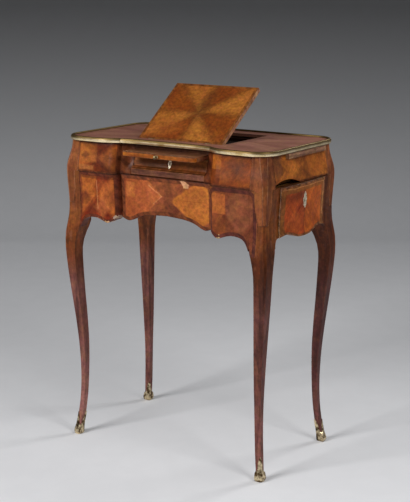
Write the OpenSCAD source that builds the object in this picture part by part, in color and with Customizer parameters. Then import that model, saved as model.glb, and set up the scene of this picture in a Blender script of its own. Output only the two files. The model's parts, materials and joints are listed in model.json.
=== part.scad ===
// Bed table: a stand on four curved legs that carries a lift-off bed tray.
// The tray holds a folding reading desk, a writing slide, a drawer and two candle slides.
// The origin is on the floor under the middle of the table; the front faces -Y.

/* [Table] */
// Width over the brass rim
table_w = 542; // [530:1:560]
// Depth over the brass rim, without the pulled-out slide
table_d = 316; // [310:1:330]
// Height of the stand, where the bed tray sits down
stand_h = 640; // [620:1:670]
// Gap between pieces that move past each other
play = 0.4; // [0.3:0.05:0.5]
// Gap between the seated bed tray and the stand
seat_gap = 0.3; // [0.2:0.05:0.4]

/* [Rim and top] */
// Width of the brass rim in plan
rim_t = 6; // [5:0.5:8]
// Height of the brass rim
rim_h = 11; // [10:0.5:13]
// Height of the rim above the top surface
rim_lip = 4; // [2:0.5:5]
// Radius of the rim's four corners
rim_corner_r = 52; // [40:1:60]
// Width of the curve where a front lobe of the rim starts
lobe_w = 60; // [48:1:66]
// Half the width of the straight middle of the rim's front
rim_flat = 70; // [60:1:80]
// Rise of the rim's middle from there to a seam
rim_rise = 5.5; // [3:0.5:8]
// Distance of the rim's middle behind a lobe's start at a seam
rim_notch = 1.5; // [1:0.1:3]
// Distance of the rim's middle behind its front lobes
rim_step = 25; // [20:1:28]

/* [Body] */
// Foot centre inside the rim, along the width
foot_inset_x = 17.5; // [15:0.5:24]
// Foot centre inside the rim, along the depth
foot_inset_y = 17; // [14:1:22]
// Half the distance between the two front seams
seam_x = 121; // [116:1:126]
// Radius of the vertical edge at each front seam
seam_r = 19; // [14:1:19]
// Half the width of the flat middle of the front
flat_half = 98; // [94:0.5:100]
// Distance of the tray's middle front behind its lobes
tray_step = 35; // [32:1:37]
// Distance of the stand's middle front behind its lobes
stand_step = 21; // [18:1:24]
// Rise of the hollow beside the tray's middle front
tray_hollow = 10.8; // [9:0.2:12]
// Distance from a seam to the end of the tray's hollow
hollow_end = 5.5; // [5:0.5:8]
// Rise of the hollow beside the stand's middle panel
stand_hollow = 1; // [0.5:0.1:3]
// Side gap of the stand's middle panel at a seam
seam_gap = 0.3; // [0.2:0.05:0.4]
// Outward bow of the side panels at their middle
side_bow = 6; // [3:0.5:7]
// Half the width of a side panel between its stiles
side_half = 97; // [92:1:100]
// Depth of a corner post behind the foot line
post_in = 28; // [26:1:30]
// Distance from the stand's top to where its posts start to narrow
post_drop = 120; // [118:1:124]
// Depth of a tray corner block behind the foot line
block_in = 26; // [24:1:27]
// Thickness of the tray bottom board
tray_bottom_t = 14.7; // [12:0.1:16]
// Thickness of the stand's top board
stand_board_t = 9.5; // [8:0.5:12]

/* [Tray legs] */
// Length of the tray's short legs below the stand's top
prong_len = 74; // [60:1:84]
// Distance of a short leg's inner edge inside the foot line
prong_in = 15; // [12:1:18]
// Distance of a short leg's back face outside the foot line
prong_back = 3; // [2.5:0.1:3.6]
// Narrowing of a short leg at its lower end
prong_taper = 7; // [3:1:9]
// Length over which a short leg narrows
prong_run = 34; // [20:1:50]

/* [Reading desk] */
// Width of the desk panel
desk_w = 222; // [200:0.2:224]
// Length of the desk panel from hinge edge to top edge
desk_len = 189.3; // [180:0.1:192]
// Thickness of the desk panel
desk_t = 10; // [9:0.5:10.5]
// Distance of the hinge line behind the front lobes' foot line
hinge_f = 80.6; // [78:0.1:82]
// Angle of the open desk
desk_angle = 36; // [34:1:36]
// Depth of the well below the closed desk
well_d = 7.3; // [7.2:0.1:8]
// Thickness of the well floor
floor_t = 2; // [1.5:0.1:2.5]
// Width of a well rail
rail_w = 20; // [16:1:22]
// Ledge on which the closed desk rests
ledge_w = 6; // [4:1:7]

/* [Prop] */
// Distance of the prop pivot behind the hinge line
prop_d = 62; // [56:1:68]
// Length of the prop arms from pivot to head bar
prop_len = 105; // [98:1:108]
// Half the distance between the prop arms
prop_half = 70; // [60:1:74]
// Width of a prop arm
arm_w = 4; // [3:0.5:5]
// Gap between the head bar's ends and the rails
bar_end_gap = 2.4; // [1.5:0.1:4]
// Thickness of a pivot bracket beside its arm
bracket_t = 3; // [2:0.5:4]
// Radius of the head bar and half the arm thickness
bar_r = 2; // [1.5:0.1:2.2]
// Radius of the pivot pins of the prop
pivot_r = 1; // [0.8:0.1:1.2]
// Radial clearance round a pin
pin_gap = 0.06; // [0.03:0.01:0.09]
// Gap between the head bar and the racks
bar_gap = 0.36; // [0.3:0.02:0.5]
// Thickness of the notched racks under the desk
rack_t = 2.4; // [2:0.1:2.6]
// Width of a rack
rack_w = 8; // [6:0.5:9]
// Length of a rack
rack_len = 44; // [30:1:48]
// Distance of a rack's outer side from the middle
rack_x = 92; // [90:1:98]
// Number of notches in a rack
rack_n = 6; // [3:1:8]

/* [Hinges] */
// Distance of each hinge from the middle
hinge_x = 75; // [60:1:90]
// Length of a hinge
hinge_l = 16; // [14:1:24]
// Radius of the hinge barrel
barrel_r = 1.9; // [1.8:0.05:2]
// Radius of the hinge pin
hinge_pin_r = 0.9; // [0.7:0.05:1]
// Thickness of a hinge leaf
leaf_t = 1.2; // [1:0.1:1.4]
// Height of a hinge leaf
leaf_h = 7.5; // [6:0.5:8]

/* [Writing slide] */
// Thickness of the writing slide
slide_t = 10.5; // [9:0.5:12]
// Depth of the writing slide
slide_d = 235; // [200:1:238]
// How far the slide is pulled out
slide_out = 52; // [0:1:80]
// Radius of the slide's front corners
slide_r = 9; // [4:1:14]
// Thickness of the board between slide and drawer
divider_t = 2.4; // [2:0.1:3]
// Radius of the slide's brass knob
knob_r = 4.6; // [4:0.1:5]
// Length of the brass knob
knob_l = 12; // [10:0.5:14]

/* [Front drawer] */
// Height of the front drawer's front
drawer_h = 26.5; // [25:0.5:30]
// Outward flare at the lower edge of the drawer's front
flare = 9; // [5:0.5:10]
// Height of the flare above the drawer's lower edge
flare_h = 5; // [4:1:14]
// Thickness of the drawer linings
lining_t = 7; // [5:0.5:8]
// Inside depth of the front drawer
drawer_in = 200; // [160:1:208]

/* [Side drawer] */
// Gap from the stand's top down to the side drawer's front
side_top_gap = 0.8; // [0.5:0.1:2]
// How far the side drawer stands open
side_out = 2.5; // [0:0.5:3]
// Length of the side drawer's box
side_box = 250; // [200:1:255]
// Width of a guide lip beside the side drawer's box
guide_lip = 4.6; // [3:0.1:10]
// Clearance above the side drawer's linings
lining_gap = 4.5; // [2:0.5:12]
// Distance from the stand's top down to the runners' top
runner_drop = 80; // [76:1:82]
// Width of a drawer runner under the box
runner_w = 14; // [10:1:18]
// Thickness of the lower rail and the runners' end gap at the right
lower_rail_t = 12; // [10:1:16]
// Distance from the stand's top down to the middle of the key plate
side_plate_drop = 37; // [34:1:42]

/* [Candle slides] */
// Front end of a candle slide, from the middle of the side
candle_front = 60.5; // [50:0.5:64]
// Back end of a candle slide, from the middle of the side
candle_back = 105.5; // [90:0.5:106]
// Thickness of a candle slide
candle_t = 13; // [10:0.5:13]
// Gap between a pushed-in candle slide and the well's rails
candle_stop = 9; // [4:1:20]
// How far a candle slide stands out
candle_out = 6; // [0:0.5:8]

/* [Metal] */
// Thickness of a key plate
plate_t = 1.2; // [1:0.1:1.5]
// Height of the front drawer's key plate
front_plate_h = 23; // [20:1:23]
// Height of the side drawer's key plate
side_plate_h = 36; // [30:1:40]
// Depth of a keyhole from its key plate
key_depth = 38; // [34:1:44]
// Radius of a keyhole
key_r = 1.6; // [1.4:0.1:2]
// Height of the gilt foot mounts
sabot_h = 54; // [44:1:60]

/* [Hidden] */
$fn = 48;

veneer = "#9c5428";
dark_veneer = "#6b3220";
top_veneer = "#7d5548";
oak = "#a9814f";
brass = "#c9a256";
iron = "#4a4642";

half_w = table_w / 2;
half_d = table_d / 2;
foot_x = half_w - foot_inset_x;
foot_y = half_d - foot_inset_y;
wall_in_front = foot_y - 10;
wall_in_back = foot_y - 5;
stand_wall_x = foot_x - 4;
tray_wall_x = foot_x - 9;
post_x = foot_x - post_in;
post_y = foot_y - post_in;
block_x = foot_x - block_in;
block_y = foot_y - block_in;
stand_mid_in = foot_y - stand_step - 4;
tray_mid_in = foot_y - tray_step - 8;
post_top = stand_h - seat_gap;
return_x = seam_x + 16;
stile_x = stand_wall_x - 10;

tray_floor_z = stand_h + seat_gap + tray_bottom_t;
drawer_z0 = tray_floor_z + 1.3;
drawer_z1 = drawer_z0 + drawer_h;
divider_z = drawer_z1 + play - 0.1;
slide_z0 = divider_z + divider_t + play;
slide_z1 = slide_z0 + slide_t;
well_floor_z = slide_z1 + play;
well_z = well_floor_z + floor_t;
desk_z0 = well_z + well_d;
top_z = desk_z0 + desk_t;
top_t = rim_h - rim_lip;
board_z = top_z - top_t;
table_h = top_z + rim_lip;

guide_in = flat_half - 0.6;
guide_out = guide_in + 12.6;
drawer_half = flat_half - 1.3;
guide_end = wall_in_back - 6;
well_half = desk_w / 2 + 1;
well_front = hinge_f + 0.7;
well_back = desk_len - hinge_f + 1.7;
rail_in = well_half - ledge_w - 0.6;
rail_out = rail_in + rail_w;
axis_z = top_z - 1;
bar_half = rail_in - bar_end_gap;
desk_edge = hinge_f - 0.7;
candle_z1 = board_z - 0.7;
candle_z0 = candle_z1 - candle_t;
runner_z = stand_h - runner_drop;
side_box_half = side_half - guide_lip - play;

pivot_z = well_z + bar_r + 0.5;
bar_drop = axis_z - desk_z0 + rack_t + bar_r + bar_gap;
pivot_drop = axis_z - pivot_z;
prop_reach = prop_d * sin(desk_angle) + pivot_drop * cos(desk_angle) - bar_drop;
prop_angle = desk_angle + asin(prop_reach / prop_len);

// Outward swell of the body beyond the foot line: distance from the stand's top, swell, post chamfer
tray_swell = [[0, 13.2, 10.8], [6, 13.2, 11.1], [14, 12.6, 11.8], [24, 11, 13], [38, 8, 14.8],
    [52, 5.6, 16.3], [70, 4.4, 17]];
stand_swell = [[-140, 15.4, 6.5], [-120, 12.3, 7], [-105, 10.4, 7.5], [-80, 9.2, 8], [-40, 11, 9],
    [-16, 12.6, 10.2], [0, 13.2, 10.8]];
// Leg: share of the stand's height, swell, side of the square, chamfer
leg_shape = [[0, 6.6, 12, 2], [0.039, 3.8, 12.6, 2.5], [0.0785, 0.6, 13.2, 3], [0.156, -3.8, 13.4, 3],
    [0.25, -5.2, 14.6, 3], [0.351, -2.9, 17.8, 3.5], [0.453, 2, 21, 4], [0.546, 7.8, 24, 4.5],
    [0.634, 12.9, 27, 5], [0.71, 16.2, 29.5, 5.5], [0.75, 16.5, 33, 6], [0.781, 15.4, 37.5, 6.5]];
// Foot mount: share of its height, swell, side of the square, chamfer
sabot_shape = [[0, 7.8, 16, 5], [0.1, 9.8, 19, 6], [0.22, 8.9, 18.4, 5], [0.36, 6.6, 16.4, 4],
    [0.5, 5, 15.6, 4], [0.8, 2.7, 15.6, 4], [1, 1.6, 15.8, 4]];
// Outline of a foot mount across the leg's corner: share of its height, half width; a toe below a leaf
sabot_leaf = [[0, 20], [0.3, 20], [0.37, 10.5], [0.46, 6.6], [0.58, 5.6], [0.72, 5], [0.86, 3.4], [1, 0.8]];
// Lower edge of the middle panel: share of the half width, drop below the stand's top
centre_apron = [[0, 84], [0.3, 86], [0.53, 90], [0.67, 96], [0.76, 101.5], [0.84, 104.3],
    [0.92, 102.5], [1, 98]];
// Lower edge of an outer panel: share of the width from seam to post, drop
outer_apron = [[0, 97], [0.07, 100.5], [0.14, 106], [0.21, 110.5], [0.28, 111.5], [0.36, 108.5],
    [0.48, 104.5], [0.6, 102.5], [0.79, 105], [0.89, 111], [0.96, 122], [1, 130]];
// Lower edge of a side, from its middle out: share of the half width, drop
side_apron = [[0, 116], [0.3, 114], [0.55, 106], [0.72, 103.5], [0.88, 105], [1, 107]];
// Lower edge of a stile: share of its width, drop
stile_apron = [[0, 107], [0.45, 109], [0.8, 117], [1, 127]];
// Lower edge of a tray side from front to back: share of the half width, rise above the stand's top
tray_side_edge = [[-1, 7], [-0.85, 12], [-0.66, 14], [-0.42, 13], [-0.24, 8], [-0.08, 1.5], [0, 0.5],
    [0.6, 0.5], [0.85, 1.5], [1, 3]];
// Lower edge of the back: share of the half width, drop
back_apron = [[0, 92], [0.3, 96], [0.5, 104], [0.75, 102], [0.9, 108], [1, 126]];
// Rim section: distance in or out, height
rim_section = [[-rim_t, 0], [-1.6, 0], [0, 2.8], [0, 6.6], [-1.1, 9.4], [-3.2, rim_h], [-5.2, rim_h - 0.6],
    [-rim_t, rim_h - rim_lip]];

// Smooth curve through knots whose first value rises
function seg(k, x) = max(0, min(len(k) - 2, len([for (p = k) if (p[0] <= x) 1]) - 1));
function rise(k, a, b, c) = (k[b][c] - k[a][c]) / (k[b][0] - k[a][0]);
function slope(k, i, c) = rise(k, max(0, i - 1), min(len(k) - 1, i + 1), c);
function ease(k, x, c) = let (i = seg(k, x), h = k[i + 1][0] - k[i][0], t = (x - k[i][0]) / h)
    (2 * t * t * t - 3 * t * t + 1) * k[i][c] + (t * t * t - 2 * t * t + t) * h * slope(k, i, c)
    + (3 * t * t - 2 * t * t * t) * k[i + 1][c] + (t * t * t - t * t) * h * slope(k, i + 1, c);
function bulge(z) = z >= stand_h ? ease(tray_swell, z - stand_h, 1) : ease(stand_swell, z - stand_h, 1);
function bevel_w(z) = z >= stand_h ? ease(tray_swell, z - stand_h, 2) : ease(stand_swell, z - stand_h, 2);
slide_face = foot_y - tray_step + bulge(slide_z0 + slide_t / 2);
slide_f = slide_face + slide_out;
side_reach = foot_x + side_out + side_bow + bulge(stand_h - side_top_gap);
x_shift = (half_w - side_reach) / 2;
y_shift = (slide_f + knob_l - half_d) / 2;
function drop_max(k) = max([for (p = k) p[1]]) + 2;
function drop_min(k) = min([for (p = k) p[1]]) - 4;
function levels(a, b, n) = [for (i = [0:n]) a + (b - a) * i / n];
function arc(cx, cy, r, a, b, n) = [for (t = levels(a, b, n)) [cx + r * cos(t), cy + r * sin(t)]];
function up(ring, z) = [for (p = ring) [p[0], p[1], z]];
// Area below an apron edge whose table is k, along x0 + w times its share
function below(k, x0, w, first, n) = let (low = stand_h - drop_max(k) - 10,
    line = [for (f = levels(first, 1, n)) [x0 + f * w, stand_h - ease(k, abs(f), 1)]],
    a = line[0], b = line[n])
    concat([[a[0] - 1, low], [a[0] - 1, a[1]]], line, [[b[0] + 1, b[1]], [b[0] + 1, low]]);
// Outward flare at the foot of the tray's middle front
function flare_at(z) = flare * pow(max(0, 1 - max(0, z - drawer_z0) / flare_h), 2);

// Solid through a stack of rings
module loft(rings) {
    n = len(rings[0]);
    m = len(rings);
    polyhedron([for (r = rings) for (p = r) p], concat(
        [[for (i = [0:n - 1]) i]], [[for (i = [n - 1:-1:0]) (m - 1) * n + i]],
        [for (j = [0:m - 2]) for (i = [0:n - 1]) [j * n + i, j * n + n + i, j * n + n + (i + 1) % n]],
        [for (j = [0:m - 2]) for (i = [0:n - 1]) [j * n + i, j * n + n + (i + 1) % n, j * n + (i + 1) % n]]),
        convexity = 8);
}
module place() { translate([x_shift, y_shift, 0]) children(); }
module box(x0, x1, y0, y1, z0, z1) { translate([x0, y0, z0]) cube([x1 - x0, y1 - y0, z1 - z0]); }
module both() {
    children();
    mirror([1, 0, 0]) children();
}
module to_left() { mirror([1, 0, 0]) children(); }
module to_front() { mirror([0, 1, 0]) children(); }
module corner(sx, sy) { mirror([sx < 0 ? 1 : 0, 0, 0]) mirror([0, sy < 0 ? 1 : 0, 0]) children(); }
// Board with a profile (out, z) drawn across it, running along X from -half to half, front at +Y
module along_x(half, profile) {
    translate([-half, 0, 0]) rotate([90, 0, 90]) linear_extrude(2 * half) polygon(profile);
}
// The same along Y, its outer face at +X
module along_y(y0, y1, profile) {
    translate([0, y1, 0]) rotate([90, 0, 0]) linear_extrude(y1 - y0) polygon(profile);
}
// Cutters with an outline in (x, z) through the front or back, and in (y, z) through a side
module cut_front(outline) {
    depth = half_d - stand_mid_in + 20;
    translate([0, half_d + 10, 0]) rotate([90, 0, 0]) linear_extrude(depth) polygon(outline);
}
module cut_side(outline) {
    width = half_w - stile_x + 25;
    translate([stile_x - 5, 0, 0]) rotate([90, 0, 90]) linear_extrude(width) polygon(outline);
}
function wall_profile(inner, base, z0, z1, n) = concat([[inner, z0]],
    [for (z = levels(z0, z1, n)) [base + bulge(z), z]], [[inner, z1]]);

// Square with a cut outer corner
function post_ring(b, s, c) = let (x = foot_x + b, y = foot_y + b, k = c * 0.707)
    [[x - s, y - s], [x, y - s], [x, y - k], [x - k, y], [x - s, y]];
function leg_ring(z) = let (f = z / stand_h)
    f < leg_shape[11][0] ? post_ring(ease(leg_shape, f, 1), ease(leg_shape, f, 2), ease(leg_shape, f, 3))
    : post_ring(bulge(z), bulge(z) + post_in - max(0, (stand_h - post_drop - z) / 20) * 5, bevel_w(z));
module leg_solid() {
    zs = concat(levels(3, 0.775 * stand_h, 26), levels(0.79 * stand_h, post_top, 9));
    loft([for (z = zs) up(leg_ring(z), z)]);
}
// Space of a tray's short leg in the corner post
module prong_space(gap) {
    edge_x = foot_x - prong_in - gap;
    edge_y = foot_y - prong_in - gap;
    low = stand_h - prong_len - gap;
    front = foot_y + prong_back - gap;
    side = foot_x + prong_back - gap;
    deep = 30;
    translate([0, front + deep, 0]) rotate([90, 0, 0]) linear_extrude(deep) polygon([
        [edge_x + prong_taper, low], [half_w, low], [half_w, stand_h + 1], [edge_x, stand_h + 1],
        [edge_x, low + prong_run]]);
    translate([side, 0, 0]) rotate([90, 0, 90]) linear_extrude(deep) polygon([[edge_y + prong_taper, low],
        [half_d, low], [half_d, stand_h + 1], [edge_y, stand_h + 1], [edge_y, low + prong_run]]);
}
module stile() {
    difference() {
        along_y(side_half, post_y,
            wall_profile(stile_x, foot_x, stand_h - drop_max(stile_apron), post_top, 8));
        cut_side(below(stile_apron, side_half, post_y - side_half, 0, 6));
    }
}
module leg(sx, sy) {
    place() color(dark_veneer) corner(sx, sy) difference() {
        union() {
            leg_solid();
            stile();
        }
        prong_space(seat_gap);
    }
}
module leg_front_left() { leg(-1, -1); }
module leg_front_right() { leg(1, -1); }
module leg_back_left() { leg(-1, 1); }
module leg_back_right() { leg(1, 1); }

module sabot(sx, sy) {
    n = len(sabot_leaf) - 1;
    place() color(brass) corner(sx, sy) union() {
        intersection() {
            difference() {
                loft([for (f = levels(0, 1, 10)) up(post_ring(ease(sabot_shape, f, 1),
                    ease(sabot_shape, f, 2), ease(sabot_shape, f, 3)), 0.5 + f * (sabot_h - 0.5))]);
                leg_solid();
            }
            translate([foot_x, foot_y, 0]) rotate([90, 0, -45]) linear_extrude(60, center = true) polygon(
                concat([for (p = sabot_leaf) [p[1], p[0] * sabot_h]],
                [for (i = [n:-1:0]) [-sabot_leaf[i][1], sabot_leaf[i][0] * sabot_h]]));
        }
        translate([foot_x, foot_y, 0]) cylinder(r = 7, h = 2.5);
    }
}
module sabot_front_left() { sabot(-1, -1); }
module sabot_front_right() { sabot(1, -1); }
module sabot_back_left() { sabot(-1, 1); }
module sabot_back_right() { sabot(1, 1); }

// Middle panel of the stand's front, with a hollow towards each seam
function bend_r(width, height) = (width * width + height * height) / (2 * height);
function hollow(x, half, r) = abs(x) <= half ? 0 : r - sqrt(r * r - (abs(x) - half) * (abs(x) - half));
module front_centre_panel() {
    edge = seam_x - seam_gap;
    r = bend_r(edge - flat_half, stand_hollow) + 0.1;
    zs = levels(stand_h - drop_min(centre_apron), post_top, 5);
    xs = concat(levels(-edge, -flat_half, 5), levels(-flat_half + 7, flat_half - 7, 18),
        levels(flat_half, edge, 5));
    place() color(veneer) to_front() loft([for (x = xs)
        let (h = foot_y - stand_step + hollow(x, flat_half, r),
            low = stand_h - ease(centre_apron, abs(x) / seam_x, 1))
        concat([[x, stand_mid_in, low], [x, h + bulge(low), low]], [for (z = zs) [x, h + bulge(z), z]],
        [[x, stand_mid_in, post_top]])]);
}
module front_outer_panel() {
    mid = seam_x + seam_r;
    color(veneer) to_front() difference() {
        loft([for (z = levels(stand_h - drop_max(outer_apron), post_top, 8))
            let (f = foot_y + bulge(z)) up(concat(
            [[post_x, wall_in_front], [post_x, f]], arc(mid, f - seam_r, seam_r, 90, 180, 4),
            [[seam_x, stand_mid_in], [return_x, stand_mid_in], [return_x, wall_in_front]]), z)]);
        cut_front(below(outer_apron, seam_x, post_x - seam_x, 0, 24));
    }
}
module front_right_panel() { place() front_outer_panel(); }
module front_left_panel() { place() to_left() front_outer_panel(); }
module back_panel() {
    place() color(veneer) difference() {
        along_x(post_x, wall_profile(wall_in_back, foot_y, stand_h - drop_max(back_apron), post_top, 8));
        cut_front(below(back_apron, 0, post_x, -1, 30));
    }
}
// Bowed side between its stiles; the drawer's front has the same face
module side_face(half, inner, top, out) {
    difference() {
        loft([for (z = levels(stand_h - drop_max(side_apron), top, 7)) up(concat([[inner, -half]],
            [for (y = levels(-half, half, 10))
                [foot_x + out + bulge(z) + side_bow * (1 - pow(y / side_half, 2)), y]],
            [[inner, half]]), z)]);
        cut_side(below(side_apron, 0, half, -1, 24));
    }
}
module left_side_panel() {
    place() color(veneer) to_left() side_face(side_half, stand_wall_x, post_top, 0);
}
module stand_top_board() {
    z0 = stand_h - 0.5 - stand_board_t;
    z1 = stand_h - 0.5;
    place() color(oak) union() {
        box(-post_x, post_x, -stand_mid_in, wall_in_back, z0, z1);
        both() box(return_x, post_x, -wall_in_front, -stand_mid_in + 1, z0, z1);
        both() box(post_x - 1, stile_x, -post_y, post_y, z0, z1);
        both() box(stile_x - 1, stand_wall_x - 0.5, -side_half, side_half, z0, z1);
    }
}
// Runner with a guide lip on its outer side, along the whole stand
module side_drawer_runners() {
    lip = side_box_half + play;
    place() color(oak) for (s = [0, 1]) mirror([0, s, 0]) union() {
        box(-stand_wall_x, stand_wall_x - lower_rail_t, lip - runner_w, side_half, runner_z - 9, runner_z);
        box(-stand_wall_x, stand_wall_x - lower_rail_t, lip, side_half, runner_z - 1, runner_z + 7);
    }
}
module right_lower_rail() {
    inner = stand_wall_x - lower_rail_t;
    place() color(oak) box(inner, stand_wall_x - 0.5, -side_half, side_half, runner_z - 9, runner_z);
}

// Key plate outline in its own plane: a lozenge of round lobes
module plate_outline(h) {
    union() {
        circle(d = h * 0.44);
        translate([0, h * 0.27]) circle(d = h * 0.3);
        translate([0, -h * 0.27]) circle(d = h * 0.3);
        translate([0, h * 0.43]) circle(d = h * 0.14);
        translate([0, -h * 0.43]) circle(d = h * 0.14);
    }
}
module key_outline(grow) {
    translate([0, 2]) circle(r = key_r + grow);
    translate([-0.7 - grow, -3.5]) square([1.4 + 2 * grow, 5]);
}
module key_cut(grow) { translate([0, 0, -key_depth]) linear_extrude(key_depth + 2) key_outline(grow); }
plate_z = stand_h - side_plate_drop;
side_face_x = foot_x + side_out + bulge(plate_z) + side_bow;
// Places a flat piece on the side drawer's face, its outside at 0
module on_side() { translate([side_face_x, 0, plate_z]) rotate([90, 0, 90]) children(); }
module side_drawer_front() {
    inner = stand_wall_x + side_out + 0.3;
    place() color(veneer) difference() {
        side_face(side_half - play, inner, stand_h - side_top_gap, side_out);
        on_side() translate([0, 0, -plate_t]) linear_extrude(10) plate_outline(side_plate_h);
        on_side() key_cut(0);
    }
}
module side_drawer_escutcheon() {
    place() color(brass) on_side() translate([0, 0, -plate_t]) linear_extrude(plate_t + 0.5) difference() {
        plate_outline(side_plate_h);
        key_outline(0);
    }
}
side_inner = stand_wall_x + side_out + 0.3;
side_end = side_inner - side_box;
side_z = runner_z + play;
side_box_h = stand_h - 0.5 - stand_board_t - lining_gap - side_z;
module side_drawer_sides() {
    place() color(oak) for (s = [0, 1]) mirror([0, s, 0])
        box(side_end, side_inner, side_box_half - lining_t, side_box_half, side_z, side_z + side_box_h);
}
module side_drawer_back() {
    w = side_box_half - lining_t;
    place() color(oak) box(side_end, side_end + lining_t, -w, w, side_z + 1, side_z + side_box_h - 4);
}
module side_drawer_bottom() {
    w = side_box_half - lining_t;
    place() color(oak) box(side_end + lining_t, side_inner, -w, w, side_z + 1, side_z + 5);
}
module side_drawer_lock() {
    place() color(iron) difference() {
        box(side_inner - 8, side_inner, -16, 16, plate_z - 14, plate_z + 18);
        on_side() key_cut(0.2);
    }
}

// Right half of the rim's line in (x, forward), moved in or out by o
rim_end = seam_x - 2;
rim_gap = 0.3;
lobe_d = rim_step - rim_rise - rim_notch;
lobe_bend = bend_r(lobe_w, lobe_d);
rim_bend = bend_r(rim_end - rim_flat, rim_rise);
function lobe_line(x) = half_d - hollow(rim_end + lobe_w - x, 0, lobe_bend);
function middle_line(x) = half_d - rim_step + hollow(x, rim_flat, rim_bend);
function rim_line(o) = concat([for (x = levels(rim_end, rim_end + lobe_w, 8)) [x, lobe_line(x) + o]],
    arc(half_w - rim_corner_r, half_d - rim_corner_r, rim_corner_r + o, 90, 0, 9),
    arc(half_w - rim_corner_r, rim_corner_r - half_d, rim_corner_r + o, 0, -90, 9), [[0.1, -half_d - o]]);
module rim_side() {
    lines = [for (p = rim_section) rim_line(p[0])];
    to_front() translate([0, 0, board_z]) loft([for (i = [0:len(lines[0]) - 1])
        [for (k = [0:len(rim_section) - 1]) [lines[k][i][0], lines[k][i][1], rim_section[k][1]]]]);
}
function middle_xs(end) = concat(levels(-end, -rim_flat, 6), levels(rim_flat, end, 6));
module rim_right() { place() color(brass) rim_side(); }
module rim_left() { place() color(brass) to_left() rim_side(); }
module rim_front() {
    place() color(brass) to_front() loft([for (x = middle_xs(rim_end - rim_gap))
        [for (p = rim_section) [x, middle_line(x) + p[0], board_z + p[1]]]]);
}
module tray_top_board() {
    side = rim_line(-rim_t);
    n = len(side) - 1;
    place() color(top_veneer) difference() {
        to_front() translate([0, 0, board_z]) linear_extrude(top_t) polygon(concat(side,
            [for (i = [n:-1:0]) [-side[i][0], side[i][1]]],
            [for (x = middle_xs(rim_end - rim_gap)) [x, middle_line(x) - rim_t]]));
        box(-well_half, well_half, -well_front, well_back, board_z - 1, top_z + 1);
        hinge_pockets(-well_front - leaf_t, -well_front + 1, board_z - 1);
    }
}
// Cut-outs for the fixed leaves and the barrels
module hinge_pockets(y0, y1, z0) {
    both() box(hinge_x - hinge_l / 2 - 0.2, hinge_x + hinge_l / 2 + 0.2, y0, y1, z0, top_z + 1);
}

module frieze_front() {
    mid = seam_x + 2 + seam_r;
    width = seam_x - hollow_end - flat_half;
    r = bend_r(width, tray_hollow);
    turn = levels(asin(width / r), 0, 4);
    color(veneer) to_front() loft([for (z = levels(stand_h, board_z, 7))
        let (f = foot_y + bulge(z), c = f - tray_step) up(concat(
        [[block_x, wall_in_front], [block_x, f]], arc(mid, f - seam_r, seam_r, 90, 180, 4),
        [[seam_x - 2.5, c + 13]],
        [for (t = turn) [flat_half + r * sin(t), c + max(flare_at(z), r * (1 - cos(t)))]],
        [[flat_half, tray_mid_in], [return_x, tray_mid_in], [return_x, wall_in_front]]), z)]);
}
module tray_frieze_front_right() { place() frieze_front(); }
module tray_frieze_front_left() { place() to_left() frieze_front(); }
module tray_frieze_back() {
    place() color(veneer) along_x(block_x, wall_profile(wall_in_back, foot_y, stand_h, board_z, 7));
}
module frieze_side() {
    color(veneer) difference() {
        along_y(-block_y, block_y, wall_profile(tray_wall_x, foot_x, stand_h, board_z, 7));
        box(tray_wall_x - 1, half_w + 20, -candle_front - 0.5, candle_back + 0.5, candle_z0 - 0.5,
            board_z + 1);
        cut_side(concat([[-block_y - 1, stand_h - 5]], [for (f = levels(-1, 1, 26)) [f * (block_y + 0.5),
            stand_h + ease(tray_side_edge, f, 1)]], [[block_y + 1, stand_h - 5]]));
    }
}
module tray_frieze_right() { place() frieze_side(); }
module tray_frieze_left() { place() to_left() frieze_side(); }

module tray_leg(sx, sy) {
    place() color(veneer) corner(sx, sy) union() {
        loft([for (z = levels(stand_h, board_z, 7))
            up(post_ring(bulge(z), bulge(z) + block_in, bevel_w(z)), z)]);
        intersection() {
            prong_space(0);
            loft([for (z = levels(stand_h - prong_len - 1, stand_h, 6))
                up(post_ring(bulge(z), bulge(z) + block_in, bevel_w(z)), z)]);
        }
    }
}
module tray_leg_front_left() { tray_leg(-1, -1); }
module tray_leg_front_right() { tray_leg(1, -1); }
module tray_leg_back_left() { tray_leg(-1, 1); }
module tray_leg_back_right() { tray_leg(1, 1); }

module tray_bottom_board() {
    z0 = stand_h + seat_gap;
    lip = foot_y - tray_step + bulge(stand_h + 4) + flare - 0.5;
    place() color(oak) union() {
        box(-block_x, block_x, -tray_mid_in, wall_in_back, z0, tray_floor_z);
        box(-flat_half, flat_half, -lip, -tray_mid_in + 1, z0, tray_floor_z);
        both() box(return_x, block_x, -wall_in_front, -tray_mid_in + 1, z0, tray_floor_z);
        both() box(block_x - 1, tray_wall_x, -block_y, block_y, z0, tray_floor_z);
    }
}
module tray_divider_board() {
    lip = foot_y - tray_step + bulge(divider_z) - 0.5;
    place() color(oak) union() {
        box(-guide_out, guide_out, -tray_mid_in, guide_end, divider_z, divider_z + divider_t);
        box(-flat_half, flat_half, -lip, -tray_mid_in + 1, divider_z, divider_z + divider_t);
    }
}
module front_drawer_guides() {
    place() color(oak) both() box(guide_in, guide_out, -tray_mid_in, guide_end, tray_floor_z, divider_z);
}
module writing_slide_guides() {
    z0 = divider_z + divider_t;
    place() color(oak) both() box(guide_in, guide_out, -tray_mid_in, guide_end, z0, well_floor_z);
}
module well_floor() {
    lip = foot_y - tray_step + bulge(well_floor_z) - 0.3;
    place() color(dark_veneer) union() {
        box(-rail_out, rail_out, -tray_mid_in, well_back + rail_w - 7, well_floor_z, well_z);
        box(-flat_half, flat_half, -lip, -tray_mid_in + 1, well_floor_z, well_z);
    }
}
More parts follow.
